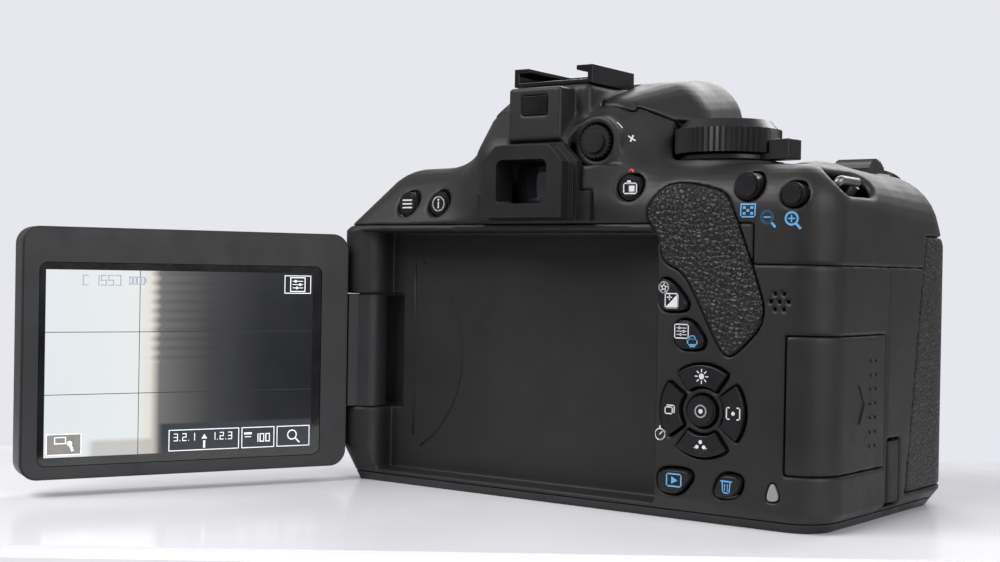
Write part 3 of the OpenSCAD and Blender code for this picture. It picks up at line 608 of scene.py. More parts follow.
def speaker_places():
    turns = [math.radians(60 * i) for i in range(1, 7)]
    ring = [(SPEAKER_AT[0] + 1.9 * math.cos(t), SPEAKER_AT[1] + 1.9 * math.sin(t)) for t in turns]
    return [SPEAKER_AT] + ring


def rear_cover():
    g = Region((-72, -31, 0), (62, 2, 75))
    form, main = g.cut(FORM), g.cut(MAIN)
    behind = both(below_seam(g), 2 - g.z, rear_plan(g))
    zone = either(behind, g.upright(THUMB, -6, BIG))
    tub = g.box((RECESS[0] - WALL, RECESS[1] - WALL, 0), (BIG, BIG, TOP_SEAM + 4))
    hinge_back = g.box((44, -14, HINGE_LOW - 2.7), (BIG, 0, HINGE_HIGH + 2.7))
    card_back = g.box((-BIG, -29.2, 10), (-65, 0, 42))
    solid = either(shell(form), both(main, either(tub, hinge_back)), both(form, card_back))
    solid = trim(solid, zone, 0.5)
    flat = both(g.box((RECESS[0], -BIG, RECESS[2]), (HINGE_AT[0], BIG, RECESS[3]), 2.0), RECESS[1] - g.y)
    knuckle = np.hypot(g.x - HINGE_AT[0], g.y - HINGE_AT[1]) - KNUCKLE_R
    step = g.box((49, -BIG, 0), (HINGE_AT[0], HINGE_AT[1], BIG))
    solid = carve(solid, both(flat, -knuckle, -step), 0.9)
    solid = carve(solid, g.box((46, -11.4, HINGE_LOW - 0.2), (BIG, BIG, HINGE_HIGH + 0.2)), 0.5)
    solid = carve(solid, g.rod_z(HINGE_AT, 2.3, HINGE_LOW - 4.5, HINGE_HIGH + 4.5), 0.2)
    u, v = g.x[:, 0, :], g.z[0]
    holes = either(*[polygon(soft(s), u, v) - GAP for s in SHAPED.values()])
    holes = either(holes, *[key_outline(u, v, quarter) - GAP for quarter in range(4)])
    holes = either(holes, np.hypot(u - KEYS_AT[0], v - KEYS_AT[1]) - 3.6)
    for x, z in speaker_places():
        holes = either(holes, np.hypot(u - x, v - z) - 0.45)
    solid = carve(solid, both(holes[:, None, :], -4 - g.y), 0.4)
    solid = carve(solid, g.upright(THUMB, -1.4, BIG) - 0.1, 0.3)
    solid = carve(solid, both(card_zone(g, 0.15), -(form + 1.7)), 0.4)
    solid = carve(solid, g.box((-66.8, -12.6, 13.6), (-60, -9.6, 38.4)), 0.3)
    return piece_from_field("rear_shell", g, solid, PLASTIC, ["rear_cover"])


def front_cover():
    g = Region((-75, -63, 0), (62, -16, 83))
    form, main, grip = g.cut(FORM), g.cut(MAIN), g.cut(GRIP_FORM)
    brow = g.box((-36, -BIG, 2), (36, -47, 80))
    zone = both(either(both(below_seam(g), 2 - g.z), brow), -rear_plan(g))
    flap_back = g.box((54.5, -41, 18), (60.5, -18, 60))
    solid = trim(either(shell(form), both(main, flap_back)), zone, 0.5)
    pocket = both(grip - 0.5, -(grip + 1), skin_zone(g, 0.1))
    solid = carve(solid, pocket, 0.4)
    solid = carve(solid, g.rod_y((0, LENS_Z), 28.8, MOUNT_Y - 1, -40), 0.5)
    solid = carve(solid, g.rod_y((29.7, LENS_Z), 2.2, MOUNT_Y - 1, -40), 0.3)
    solid = carve(solid, g.rod_y((42.5, 30), 5.85, -55, -40), 0.5)
    solid = carve(solid, g.rod_y((43.5, 55), 3.55, -55, -40), 0.5)
    seat = both(terminal_zone(g, 0.15), 58.3 - g.x)
    for z in (27, 39):
        seat = either(seat, g.rod((54, -29, z), (1, 0, 0), 2.6, 6))
    seat = either(seat, g.box((54, -33, 46.5), (60, -25, 51.5), 0.8))
    solid = carve(solid, seat, 0.4)
    solid = carve(solid, both(cord_zone(g, 0.35), -(form + 1.7)), 0.4)
    return piece_from_field("front_shell", g, solid, PLASTIC, ["front_cover"])


def on_shoulder(side, along, out, across=0.0):
    """A place on one of the sloping shoulders: along y, out of the surface, and across it."""
    at = Vector((-66.8, -17, 72.6)) if side < 0 else Vector((52.4, -24, 73.2))
    lean = Matrix.Rotation(math.radians(42 * side), 3, "Y")
    return at + lean @ Vector((across, along, out))


def top_cover():
    g = Region((-75, -73, 52), (62, 3.5, 101))
    form, hump, grip = g.cut(FORM), g.cut(HUMP), g.cut(GRIP_FORM)
    brow = g.box((-36, -BIG, 0), (36, -47, 80))
    zone = both(SIDE_SEAM - g.z, -below_seam(g), -brow, -g.upright(THUMB, -6, BIG), -flash_zone(g))
    solid = trim(shell(form), zone, 0.5)
    tray = both(hump, g.box((-40, -54, FLASH_SEAM - 2.5), (40, -20, FLASH_SEAM - 0.5)))
    column = either(g.box((-10.6, -34, 76), (10.6, SHOE_REAR, SHOE_Z), 1.6),
                    g.box((-7, -20, 82), (7, SENSOR_FACE, 94), 0.5))
    column = both(column, -(hump + WALL))
    solid = either(blend(solid, column, 1.6), tray, both(hump, zone, dial_room(g, 2.3)))
    solid = blend(solid, g.rod_z(DIAL_AT, 13, 70, 77.4), 1.6)
    for x in (-63.6, -52.2):
        ear = g.box((x, WHEEL_AT[1] - 2.5, WHEEL_AT[2] - 3), (x + 1.8, WHEEL_AT[1] + 2.5, 76), 0.5)
        solid = blend(solid, ear, 1.0)
    solid = blend(solid, g.rod_y(DIOPTER_AT, 5.8, -11, -2.2), 1.4)
    solid = carve(solid, g.box((-11.4, -34.8, SHOE_Z), (11.4, BIG, BIG)), 0.3)
    solid = carve(solid, dial_room(g, 0.5), 0.4)
    lever_sweep = g.rod_z(DIAL_AT, 18.2, 77.5, 86.5)
    solid = carve(solid, both(lever_sweep, g.x - DIAL_AT[0]), 0.6)
    solid = carve(solid, both(grip - 0.5, -(grip + 1), skin_zone(g, 0.1)), 0.4)
    seat = both((eyepiece_base(g.x[:, 0, :], g.z[0]) - 0.1)[:, None, :], EYEPIECE_SEAT - g.y)
    solid = carve(solid, seat, 0.3)
    beside = both(g.box((-24, -2.2, 76.4), (DIOPTER_AT[0], 5, 87)))
    solid = carve(solid, either(beside, g.rod_y(DIOPTER_AT, 5.5, -2.2, 5)), 0.6)
    solid = carve(solid, g.rod_z(DIAL_AT, 3.1, 60, 90), 0.3)
    wheel_slot = g.box((-61.8, WHEEL_AT[1] - 7.6, 66), (-52.2, WHEEL_AT[1] + 7.6, 90), 0.8)
    solid = carve(solid, wheel_slot, 0.6)
    solid = carve(solid, g.rod((-65, *WHEEL_AT[1:]), (1, 0, 0), 1.3, 16), 0.2)
    below = Vector(SHUTTER_AT) - 4.2 * Vector(SHUTTER_UP)
    solid = carve(solid, g.rod(below, SHUTTER_UP, 5.35, 14), 0.7)
    solid = carve(solid, g.rod_z(ISO_AT, 2.55, 60, 90), 0.5)
    for b in (MENU, INFO, LIVE, LOCK, POINT):
        solid = carve(solid, g.rod_y(b, b[2] + GAP, -12, 5), 0.5)
    solid = carve(solid, either(g.rod_y(DIOPTER_AT, 4.2, -6.4, 5), g.rod_y(DIOPTER_AT, 1.6, -12, 5)), 0.4)
    solid = carve(solid, g.rod((-14, *FLASH_AXIS), (1, 0, 0), 1.0, 28), 0.2)
    solid = carve(solid, g.box((-3.4, SENSOR_FACE - 1, 87.7), (3.4, BIG, 92.1)), 0.3)
    solid = carve(solid, g.box((-6.9, -20, EYEPIECE_Z - 4.9), (6.9, 5, EYEPIECE_Z + 5.2)), 0.3)
    for side in (-1, 1):
        scoop = g.capsule(on_shoulder(side, -5, 1.4), on_shoulder(side, 5, 1.4), 4.4)
        solid = carve(solid, scoop, 1.6)
    return piece_from_field("top_shell", g, solid, PLASTIC, ["top_cover"])


def flash_head():
    g = Region((-34, -60, 80), (34, -5, 101))
    hump = g.cut(HUMP)
    solid = trim(hump, flash_zone(g, 0.2), 0.6)
    lean = math.radians(23.6)
    py, pz = g.y - FLASH_AXIS[0], g.z - FLASH_AXIS[1]
    ly = py * math.cos(lean) + pz * math.sin(lean)
    lz = -py * math.sin(lean) + pz * math.cos(lean)
    wedge = both(np.abs(ly + 18.5) - 21.5, np.abs(lz + 3.6) - 5.4)
    hollow = both(hump + 1.8, -g.box((-13, -37.5, 0), (13, 0, BIG)), FLASH_SEAM + 1.6 - g.z, -wedge,
                  -dial_room(g, 2.3))
    solid = carve(carve(solid, hollow, 0.3), dial_room(g, 0.5), 0.3)
    solid = carve(solid, g.box((-17, -53, FLASH_SEAM - 1), (17, -41, FLASH_SEAM + 1)), 0.2)
    for s in (-1, 1):
        solid = either(solid, g.rod((s * 10.3 - 1.5, *FLASH_AXIS), (1, 0, 0), 0.9, 3))
    return piece_from_field("flash_shell", g, solid, PLASTIC, ["flash_head"], "flash")


def grip_skin():
    g = Region((-75, -73, 3), (-34, -36, 64))
    grip = g.cut(GRIP_FORM)
    solid = trim(both(grip, -(grip + 1)), both(skin_zone(g), g.y + 34), 0.7)
    return piece_from_field("grip_leather", g, solid, GRIP, ["grip_rubber"])


def thumb_skin():
    g = Region((-60, -3, 33), (-24, 2, 75))
    form = g.cut(FORM)
    solid = trim(both(form - 0.5, -(form + 1.3)), polygon(THUMB, g.x[:, 0, :], g.z[0])[:, None, :], 0.8)
    return piece_from_field("thumb_leather", g, solid, GRIP, ["thumb_rubber"])


def card_door():
    g = Region((-72, -30, 10), (-58, 1, 42))
    form = g.cut(FORM)
    solid = trim(both(form, -(form + 1.6)), card_zone(g), 0.4)
    return piece_from_field("card_lid", g, solid, PLASTIC, ["card_door"], "card_door")


def cord_flap():
    g = Region((-75, -38, 2), (-58, -29, 19))
    form = g.cut(FORM)
    solid = trim(both(form, -(form + 1.6)), cord_zone(g, -0.35), 0.4)
    return piece_from_field("cord_lid", g, solid, SOFT, ["cord_flap"], "cord_flap")


def terminal_cover():
    g = Region((56, -41, 18), (62, -18, 60))
    main = g.cut(MAIN)
    solid = trim(both(main, 58.5 - g.x), terminal_zone(g), 0.5)
    return piece_from_field("terminal_lid", g, solid, SOFT, ["terminal_cover"], "terminal_cover")


SHELLS = [rear_cover(), front_cover(), top_cover(), flash_head(), grip_skin(), thumb_skin(), card_door(),
          cord_flap(), terminal_cover()]
for node_name, (look, edge_width) in NODE_LOOK.items():
    dress(node_name, look, edge_width)


# ---------- Marks: thin flat strokes and shapes laid just above a surface ----------
# u runs to the right as seen from behind, and v up, both in mm.

LIFT = 0.04
SEGMENT_ENDS = {"a": ((0, 2), (1, 2)), "b": ((1, 2), (1, 1)), "c": ((1, 1), (1, 0)), "d": ((0, 0), (1, 0)),
                "e": ((0, 1), (0, 0)), "f": ((0, 2), (0, 1)), "g": ((0, 1), (1, 1))}
DIGITS = {"0": "abcdef", "1": "bc", "2": "abged", "3": "abgcd", "5": "afgcd", "[": "adef", "]": "abcd"}


class Marks:
    """Collects flat shapes, and places them on a surface by a rule from (u, v) to a point in mm."""

    def __init__(self, place, step=100.0):
        self.place = place
        self.step = step
        self.centre = (0.0, 0.0)
        self.points = []
        self.faces = []

    def at(self, u, v):
        self.centre = (u, v)
        return self

    def fill(self, corners):
        start = len(self.points)
        self.points += [self.place(self.centre[0] + u, self.centre[1] + v) for u, v in corners]
        self.faces.append(range(start, start + len(corners)))
        return self

    def line(self, corners, width=0.28, closed=False):
        ends = corners[1:] + corners[:1] if closed else corners[1:]
        for (ax, ay), (bx, by) in zip(corners, ends):
            long = max(math.hypot(bx - ax, by - ay), 1e-6)
            du, dv = (bx - ax) / long * width / 2, (by - ay) / long * width / 2
            ax, ay, bx, by = ax - du, ay - dv, bx + du, by + dv
            count = math.ceil(long / self.step)
            for i in range(count):
                low, high = i / count, (i + 1) / count
                cx, cy = ax + (bx - ax) * low, ay + (by - ay) * low
                ex, ey = ax + (bx - ax) * high, ay + (by - ay) * high
                self.fill([(cx - dv, cy + du), (cx + dv, cy - du), (ex + dv, ey - du), (ex - dv, ey + du)])
        return self

    def disc(self, u, v, r, count=14):
        turns = [2 * math.pi * i / count for i in range(count)]
        return self.fill([(u + r * math.cos(t), v + r * math.sin(t)) for t in turns])

    def arc(self, u, v, r, start=0, end=360, width=0.28, count=16):
        turns = [math.radians(start + (end - start) * i / count) for i in range(count + 1)]
        return self.line([(u + r * math.cos(t), v + r * math.sin(t)) for t in turns], width)

    def frame(self, w, h, width=0.28, u=0.0, v=0.0):
        return self.line([(u - w / 2, v - h / 2), (u + w / 2, v - h / 2), (u + w / 2, v + h / 2),
                          (u - w / 2, v + h / 2)], width, True)

    def digits(self, text, u, v, height, width=0.25, pitch=1.75):
        """Plain seven-stroke figures, with dots between them where the text has dots."""
        half = height / 2
        for sign in text:
            if sign == ".":
                self.disc(u, v, width * 0.6, 8)
                u += half * 0.8
                continue
            for stroke in DIGITS.get(sign, ""):
                ends = [(u + a * half, v + b * half) for a, b in SEGMENT_ENDS[stroke]]
                self.line(ends, width)
            u += half * pitch
        return self

    def piece(self, name, material, body, slot):
        mesh = bpy.data.meshes.new(name)
        places = [(x * MM, (y + REAR) * MM, z * MM) for x, y, z in self.points]
        mesh.from_pydata(places, [], [list(f) for f in self.faces])
        mesh.materials.append(material)
        piece = bpy.data.objects.new(name, mesh)
        bpy.context.scene.collection.objects.link(piece)
        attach(piece, body)
        return piece


def surface_of(*pieces):
    points, faces = [], []
    for piece in pieces:
        start = len(points)
        points += [v.co.copy() for v in piece.data.vertices]
        faces += [[start + i for i in f.vertices] for f in piece.data.polygons]
    return BVHTree.FromPolygons(points, faces)


REAR_SURFACE = surface_of(SHELLS[0], SHELLS[2], SHELLS[5])


def on_plane(x0, z0, y):
    """A rule that lays marks round (x0, z0) on a flat rear face."""
    return lambda u, v: (x0 - u, y + LIFT, z0 + v)


def on_rear(x0, z0):
    """A rule that wraps marks round (x0, z0) on the rear of the shells, square to the surface there."""
    middle, out = REAR_SURFACE.ray_cast(Vector((x0 * MM, 0.08, z0 * MM)), Vector((0, -1, 0)))[:2]
    out = out if out.y > 0 else -out
    across = (Vector((-1, 0, 0)) + out * out.x).normalized()
    up = out.cross(across)
    high = 0.003

    def place(u, v):
        start = middle + (across * u + up * v) * MM + out * high
        found = REAR_SURFACE.ray_cast(start, -out, 2 * high)[0] or start - out * high
        at = (found + out * 2 * LIFT * MM) / MM
        return at.x, at.y - REAR, at.z
    return place


# Pictograms, each drawn round its own centre

def menu_sign(m):
    for v in (-0.9, 0, 0.9):
        m.line([(-1.3, v), (1.3, v)], 0.34)


def info_sign(m):
    m.arc(0, 0, 1.7, width=0.26)
    m.line([(0, -0.9), (0, 0.3)], 0.36).disc(0, 0.95, 0.26)


def camera_sign(m):
    m.frame(3.2, 2.2).fill([(-0.9, 1.1), (0.3, 1.1), (0.1, 1.75), (-0.7, 1.75)])
    m.fill([(-0.3, -0.7), (1.1, -0.7), (1.1, 0.6), (-0.3, 0.6)])


def grid_sign(m):
    m.frame(3.2, 2.6, 0.3)
    for u, v in ((-0.85, 0.6), (0, 0), (0.85, 0.6), (-0.85, -0.6), (0.85, -0.6)):
        m.fill([(u - 0.32, v - 0.28), (u + 0.32, v - 0.28), (u + 0.32, v + 0.28), (u - 0.32, v + 0.28)])


def zoom_sign(m, plus):
    m.arc(-0.2, 0.3, 1.25, width=0.4).line([(0.7, -0.7), (1.5, -1.6)], 0.5)
    m.line([(-0.8, 0.3), (0.4, 0.3)], 0.3)
    if plus:
        m.line([(-0.2, -0.3), (-0.2, 0.9)], 0.3)


def exposure_sign(m):
    m.fill([(-1.5, -1.5), (1.5, -1.5), (1.5, 1.5)]).frame(3.0, 3.0, 0.24)
    m.line([(-1.0, 0.7), (0.0, 0.7)], 0.24).line([(-0.5, 0.2), (-0.5, 1.2)], 0.24)


def iris_sign(m):
    m.arc(0, 0, 1.15, width=0.26)
    for i in range(5):
        t = math.radians(72 * i)
        rim = (1.1 * math.cos(t), 1.1 * math.sin(t))
        m.line([rim, (0.4 * math.cos(t + 1.5), 0.4 * math.sin(t + 1.5))], 0.18)


def sliders_sign(m, size=1.0):
    m.frame(3.2 * size, 2.9 * size, 0.24)
    for v, u in ((0.7, -0.5), (0, 0.5), (-0.7, -0.2)):
        m.line([(-1.1 * size, v * size), (1.1 * size, v * size)], 0.16 * size)
        m.disc(u * size, v * size, 0.3 * size)


def printer_sign(m):
    m.frame(2.2, 1.1).frame(1.2, 0.8, 0.22, 0, 0.9).line([(-0.5, -0.9), (0.5, -0.9)], 0.3)


def sun_sign(m):
    m.disc(0, 0, 0.62)
    for i in range(8):
        t = math.radians(45 * i)
        m.line([(1.0 * math.cos(t), 1.0 * math.sin(t)), (1.45 * math.cos(t), 1.45 * math.sin(t))], 0.24)


def focus_sign(m):
    for s in (-1, 1):
        m.line([(s * 0.9, 1.2), (s * 1.5, 1.2), (s * 1.5, -1.2), (s * 0.9, -1.2)], 0.26)
    m.disc(0, 0, 0.42)


def select_sign(m):
    m.arc(0, 0, 1.25, width=0.28).disc(0, 0, 0.5)


def drive_sign(m):
    m.frame(1.7, 1.4, 0.24, -0.3, -0.3).line([(-0.7, 0.8), (1.0, 0.8), (1.0, -0.7)], 0.24)


def timer_sign(m):
    m.arc(0, 0, 1.2, width=0.24).line([(0, 0), (0.55, 0.55)], 0.24).line([(0, 1.2), (0, 1.7)], 0.3)


def remote_sign(m):
    m.frame(0.9, 2.4, 0.2).disc(0, 0.6, 0.22)


def style_sign(m):
    for u, v in ((0, 0.75), (-0.8, -0.3), (0.8, -0.3)):
        m.disc(u, v, 0.42)
    m.arc(0, 0, 1.45, 200, 340, 0.24)


def play_sign(m):
    m.frame(3.4, 2.6, 0.3).fill([(-0.6, -0.8), (0.9, 0), (-0.6, 0.8)])


def bin_sign(m):
    m.line([(-0.9, 0.9), (-0.7, -1.3), (0.7, -1.3), (0.9, 0.9)], 0.26).line([(-1.2, 1.1), (1.2, 1.1)], 0.3)
    for u in (-0.3, 0.3):
        m.line([(u, 0.5), (u, -0.9)], 0.18)


def on_button(name, node, x, z, y, draw, material=WHITE):
    """Marks that sit on a button's face and travel with it."""
    marks = Marks(on_plane(x, z, y))
    draw(marks)
    return marks.piece(name, material, node, "lamp_clear")


FACE, KEY_FACE = 0.9, 0.7
for sign_name, node_name, x, z, y, draw, ink in (
        ("menu_mark", "menu_button", 40.0, 68.5, -2.7, menu_sign, WHITE),
        ("info_mark", "info_button", 30.2, 68.4, -2.3, info_sign, WHITE),
        ("live_view_mark", "live_view_button", -23.4, 71.0, -0.7, camera_sign, WHITE),
        ("iris_mark", "exposure_button", -33.0, 49.7, FACE, iris_sign, WHITE),
        ("exposure_mark", "exposure_button", -34.9, 46.9, FACE, exposure_sign, WHITE),
        ("sliders_mark", "quick_menu_button", -37.4, 40.5, FACE, sliders_sign, WHITE),
        ("printer_mark", "quick_menu_button", -40.0, 38.3, FACE, printer_sign, BLUE),
        ("key_up_mark", "key_up", -42.2, 31.2, KEY_FACE, sun_sign, WHITE),
        ("key_right_mark", "key_right", -49.6, 23.9, KEY_FACE, focus_sign, WHITE),
        ("key_left_mark", "key_left", -34.9, 23.9, KEY_FACE, drive_sign, WHITE),
        ("key_down_mark", "key_down", -42.2, 16.7, KEY_FACE, style_sign, WHITE),
        ("set_mark", "set_button", -42.2, 23.9, FACE, select_sign, WHITE),
        ("playback_mark", "playback_button", -36.2, 8.9, FACE, play_sign, BLUE),
        ("erase_mark", "erase_button", -48.4, 8.7, FACE, bin_sign, BLUE)):
    on_button(sign_name, node_name, x, z, y, draw, ink)


def body_marks():
    """Signs printed on the shells beside the buttons."""
    def group(name, material, items):
        marks = Marks(None, 0.5)
        for x, z, draw in items:
            marks.place = on_rear(x, z)
            draw(marks)
        marks.piece(name, material, BODY, "lamp_clear")

    group("white_signs", WHITE, [
        (-32.2, 18.3, timer_sign), (-30.2, 18.2, remote_sign),
        (-18.3, 85.3, lambda m: m.line([(-0.7, 0), (0.7, 0)], 0.36)),
        (-20.4, 82.4, lambda m: m.line([(-0.8, 0), (0.8, 0)], 0.4).line([(0, -0.8), (0, 0.8)], 0.4))])
    group("blue_signs", BLUE, [
        (-51.8, 65.9, grid_sign), (-56.3, 64.2, lambda m: zoom_sign(m, False)),
        (-61.6, 63.9, lambda m: zoom_sign(m, True))])
    group("red_sign", RED, [(-22.5, 74.9, lambda m: m.disc(0, 0, 0.55, 20))])


body_marks()


# ---------- The picture on the screen ----------

LEAN = math.radians(63.3)
OUT_ALONG = (math.cos(LEAN), math.sin(LEAN))
OUT_ACROSS = (-math.sin(LEAN), math.cos(LEAN))
VIEW_LOW = (15.8, 8.9)
VIEW_SIZE = (63.4, 42.3)
VIEW_DEPTH = 2.66


def on_screen(depth):
    """A rule from the picture's own places, from its lower left corner, to points in mm."""
    def place(u, v):
        along = VIEW_LOW[0] + VIEW_SIZE[0] - u
        x = HINGE_AT[0] + along * OUT_ALONG[0] + depth * OUT_ACROSS[0]
        y = HINGE_AT[1] + along * OUT_ALONG[1] + depth * OUT_ACROSS[1]
        return x, y, VIEW_LOW[1] + v
    return place


def picture_look():
    """A lit scene: a bright wall on the left, a ribbed barrel that fades into the dark on the right."""
    material, tree, shader = nodes_of("screen_picture")
    link = tree.links.new

    def maths(kind, a, b=None, c=None):
        node = add(tree, "ShaderNodeMath", operation=kind)
        for socket, value in zip(node.inputs, (a, b, c)):
            if isinstance(value, (int, float)):
                socket.default_value = value
            elif value is not None:
                link(value, socket)
        return node.outputs[0]

    def soft_step(value, low, high):
        node = add(tree, "ShaderNodeMapRange", interpolation_type="SMOOTHSTEP")
        node.inputs["From Min"].default_value = low
        node.inputs["From Max"].default_value = high
        link(value, node.inputs["Value"])
        return node.outputs["Result"]

    def mixed(share, a, colour):
        node = add(tree, "ShaderNodeMix", data_type="RGBA")
        node.inputs[7].default_value = (*colour, 1)
        link(a, node.inputs[6])
        link(share, node.inputs[0])
        return node.outputs[2]

    split = add(tree, "ShaderNodeSeparateXYZ")
    link(place_coordinates(tree), split.inputs[0])
    from_hinge = [maths("SUBTRACT", split.outputs[0], HINGE_AT[0] * MM),
                  maths("SUBTRACT", split.outputs[1], (HINGE_AT[1] + REAR) * MM)]
    along = maths("ADD", maths("MULTIPLY", from_hinge[0], OUT_ALONG[0] / MM),
                  maths("MULTIPLY", from_hinge[1], OUT_ALONG[1] / MM))
    u = maths("SUBTRACT", VIEW_LOW[0] + VIEW_SIZE[0], along)
    v = maths("SUBTRACT", maths("MULTIPLY", split.outputs[2], 1 / MM), VIEW_LOW[1])
    upper = soft_step(v, 20.5, 21.5)
    ribs = maths("MULTIPLY", maths("MULTIPLY", maths("SINE", maths("MULTIPLY", v, 2.9)), 0.3), upper)
    across = maths("DIVIDE", maths("ADD", u, ribs), VIEW_SIZE[0])
    ramp = add(tree, "ShaderNodeValToRGB")
    link(across, ramp.inputs[0])
    stops = [(0.0, (0.80, 0.85, 0.88)), (0.33, (0.84, 0.87, 0.87)), (0.375, (0.80, 0.77, 0.70)),
             (0.41, (0.17, 0.165, 0.16)), (0.50, (0.10, 0.10, 0.10)), (0.60, (0.045, 0.046, 0.049)),
             (0.80, (0.010, 0.011, 0.013)), (1.0, (0.004, 0.005, 0.007))]
    ramp.color_ramp.elements[0].color = (*stops[0][1], 1)
    ramp.color_ramp.elements[1].color = (*stops[-1][1], 1)
    for place, colour in stops[1:-1]:
        ramp.color_ramp.elements.new(place).color = (*colour, 1)
    low_right = maths("MULTIPLY", soft_step(v, 7.2, 6.4), soft_step(u, 25.5, 27.0))
    tone = mixed(low_right, ramp.outputs[0], (0.035, 0.042, 0.052))
    low_left = maths("MULTIPLY", maths("MULTIPLY", soft_step(v, 4.2, 2.8), soft_step(u, 9.0, 11.5)),
                     soft_step(u, 25.5, 23.5))
    tone = mixed(maths("MULTIPLY", low_left, 0.6), tone, (0.42, 0.39, 0.36))
    bands = maths("MULTIPLY", soft_step(maths("SINE", maths("MULTIPLY", v, 2.9)), -0.2, 0.9), upper)
    ribbed = maths("MULTIPLY", bands, maths("MULTIPLY", soft_step(u, 25.8, 27.5), soft_step(u, 46.0, 30.0)))
    tone = mixed(maths("MULTIPLY", ribbed, 0.18), tone, (0.03, 0.03, 0.032))
    shader.inputs["Base Color"].default_value = (0.01, 0.01, 0.011, 1)
    link(spread(tree, noise(tree, 200.0), 0.18, 0.26), shader.inputs["Roughness"])
    link(tone, shader.inputs["Emission Color"])
    shader.inputs["Emission Strength"].default_value = 0.95
    shader.inputs["Specular IOR Level"].default_value = 0.12
    return material


def screen_picture():
    plain = Marks(on_screen(VIEW_DEPTH))
    columns, rows = 16, 10
    du, dv = VIEW_SIZE[0] / columns, VIEW_SIZE[1] / rows
    for i in range(columns):
        for j in range(rows):
            u0, v0 = i * du, j * dv
            plain.fill([(u0, v0), (u0 + du, v0), (u0 + du, v0 + dv), (u0, v0 + dv)])
    plain.piece("screen_picture", picture_look(), "screen_panel", "screen_face")
    lines = Marks(on_screen(VIEW_DEPTH + 0.02))
    for k in (1, 2):
        u, v = VIEW_SIZE[0] * k / 3, VIEW_SIZE[1] * k / 3
        lines.line([(u, 0.1), (u, VIEW_SIZE[1] - 0.1)], 0.16).line([(0.1, v), (VIEW_SIZE[0] - 0.1, v)], 0.16)
    lines.piece("screen_grid", LINE, "screen_panel", "screen_face")
    white = Marks(on_screen(VIEW_DEPTH + 0.04))
    white.at(59.5, 39.5).frame(6.6, 4.2, 0.2)
    sliders_sign(white, 1.15)
    white.at(36.8, 2.8).frame(16.8, 4.8, 0.2).digits("3.2.1", -7.2, -0.1, 1.6, 0.2)
    white.digits("1.2.3", 1.8, -0.1, 1.6, 0.2).fill([(-0.7, 0.2), (0.7, 0.2), (0, 1.3)])
    white.line([(0, -0.5), (0, -1.7)], 0.5)
    white.at(50.0, 2.8).frame(8.0, 4.8, 0.2).digits("100", -0.9, -1.0, 1.8, 0.24, 1.6)
    white.line([(-3.2, 1.0), (-1.8, 1.0)], 0.5).line([(-3.2, 0.2), (-1.8, 0.2)], 0.2)
    white.at(58.9, 2.8).frame(8.2, 4.8, 0.2).arc(-0.3, 0.3, 1.1, width=0.26)
    white.line([(0.5, -0.5), (1.5, -1.5)], 0.34)
    white.at(4.4, 2.9).frame(7.6, 4.6, 0.2).frame(2.4, 1.4, 0.24, -0.8, 0.9).disc(1.3, 0.2, 0.6)
    white.line([(1.3, 0.2), (1.9, -1.3)], 0.6)
    shade = Marks(on_screen(VIEW_DEPTH + 0.02)).at(4.4, 2.9)
    shade.fill([(-3.8, -2.3), (3.8, -2.3), (3.8, 2.3), (-3.8, 2.3)])
    shade.piece("touch_shade", SHADE, "screen_panel", "screen_face")
    white.piece("screen_signs", LIT, "screen_panel", "lamp_clear")
    pale = Marks(on_screen(VIEW_DEPTH + 0.04))
    pale.at(8.2, 38.9).digits("[", 0, 0, 2.2, 0.24).digits("155]", 2.4, 0, 2.2, 0.24, 1.5)
    pale.at(20.4, 40.0).frame(3.4, 1.6, 0.24).line([(2.0, -0.3), (2.0, 0.3)], 0.4)
    for u in (-1.0, -0.1, 0.8):
        pale.line([(u, -0.4), (u, 0.4)], 0.5)
    pale.piece("screen_count", PALE, "screen_panel", "lamp_clear")


screen_picture()


# ---------- Raised details ----------

def beads(name, paths, r, material, body, sides=8):
    """Thin round ridges along these paths."""
    mesh = bmesh.new()
    for path in paths:
        path = [Vector(p) for p in path]
        rings = []
        for i, at in enumerate(path):
            ahead = (path[min(i + 1, len(path) - 1)] - path[max(i - 1, 0)]).normalized()
            side = ahead.cross(Vector((0, 1, 0.01))).normalized()
            up = side.cross(ahead)
            turns = [2 * math.pi * k / sides for k in range(sides)]
            ring = [at + side * math.cos(t) * r + up * math.sin(t) * r for t in turns]
            rings.append([mesh.verts.new((p.x * MM, (p.y + REAR) * MM, p.z * MM)) for p in ring])
        for a, b in zip(rings, rings[1:]):
            for k in range(sides):
                mesh.faces.new((a[k], a[(k + 1) % sides], b[(k + 1) % sides], b[k]))
        mesh.faces.new(rings[0][::-1])
        mesh.faces.new(rings[-1])
    bmesh.ops.recalc_face_normals(mesh, faces=mesh.faces)
    data = bpy.data.meshes.new(name)
    mesh.to_mesh(data)
    data.materials.append(material)
    data.shade_smooth()
    piece = bpy.data.objects.new(name, data)
    bpy.context.scene.collection.objects.link(piece)
    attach(piece, body)


def arc_through(low, middle, high, count=24):
    """Points on the circle through three places in x and z."""
    (ax, az), (bx, bz), (cx, cz) = low, middle, high
    d = 2 * (ax * (bz - cz) + bx * (cz - az) + cx * (az - bz))
    a2, b2, c2 = ax * ax + az * az, bx * bx + bz * bz, cx * cx + cz * cz
    ux = (a2 * (bz - cz) + b2 * (cz - az) + c2 * (az - bz)) / d
    uz = (a2 * (cx - bx) + b2 * (ax - cx) + c2 * (bx - ax)) / d
    r = math.hypot(ax - ux, az - uz)
    start = math.atan2(az - uz, ax - ux) % (2 * math.pi)
    end = math.atan2(cz - uz, cx - ux) % (2 * math.pi)
    turns = [start + (end - start) * i / count for i in range(count + 1)]
    return [(ux + r * math.cos(t), uz + r * math.sin(t)) for t in turns]


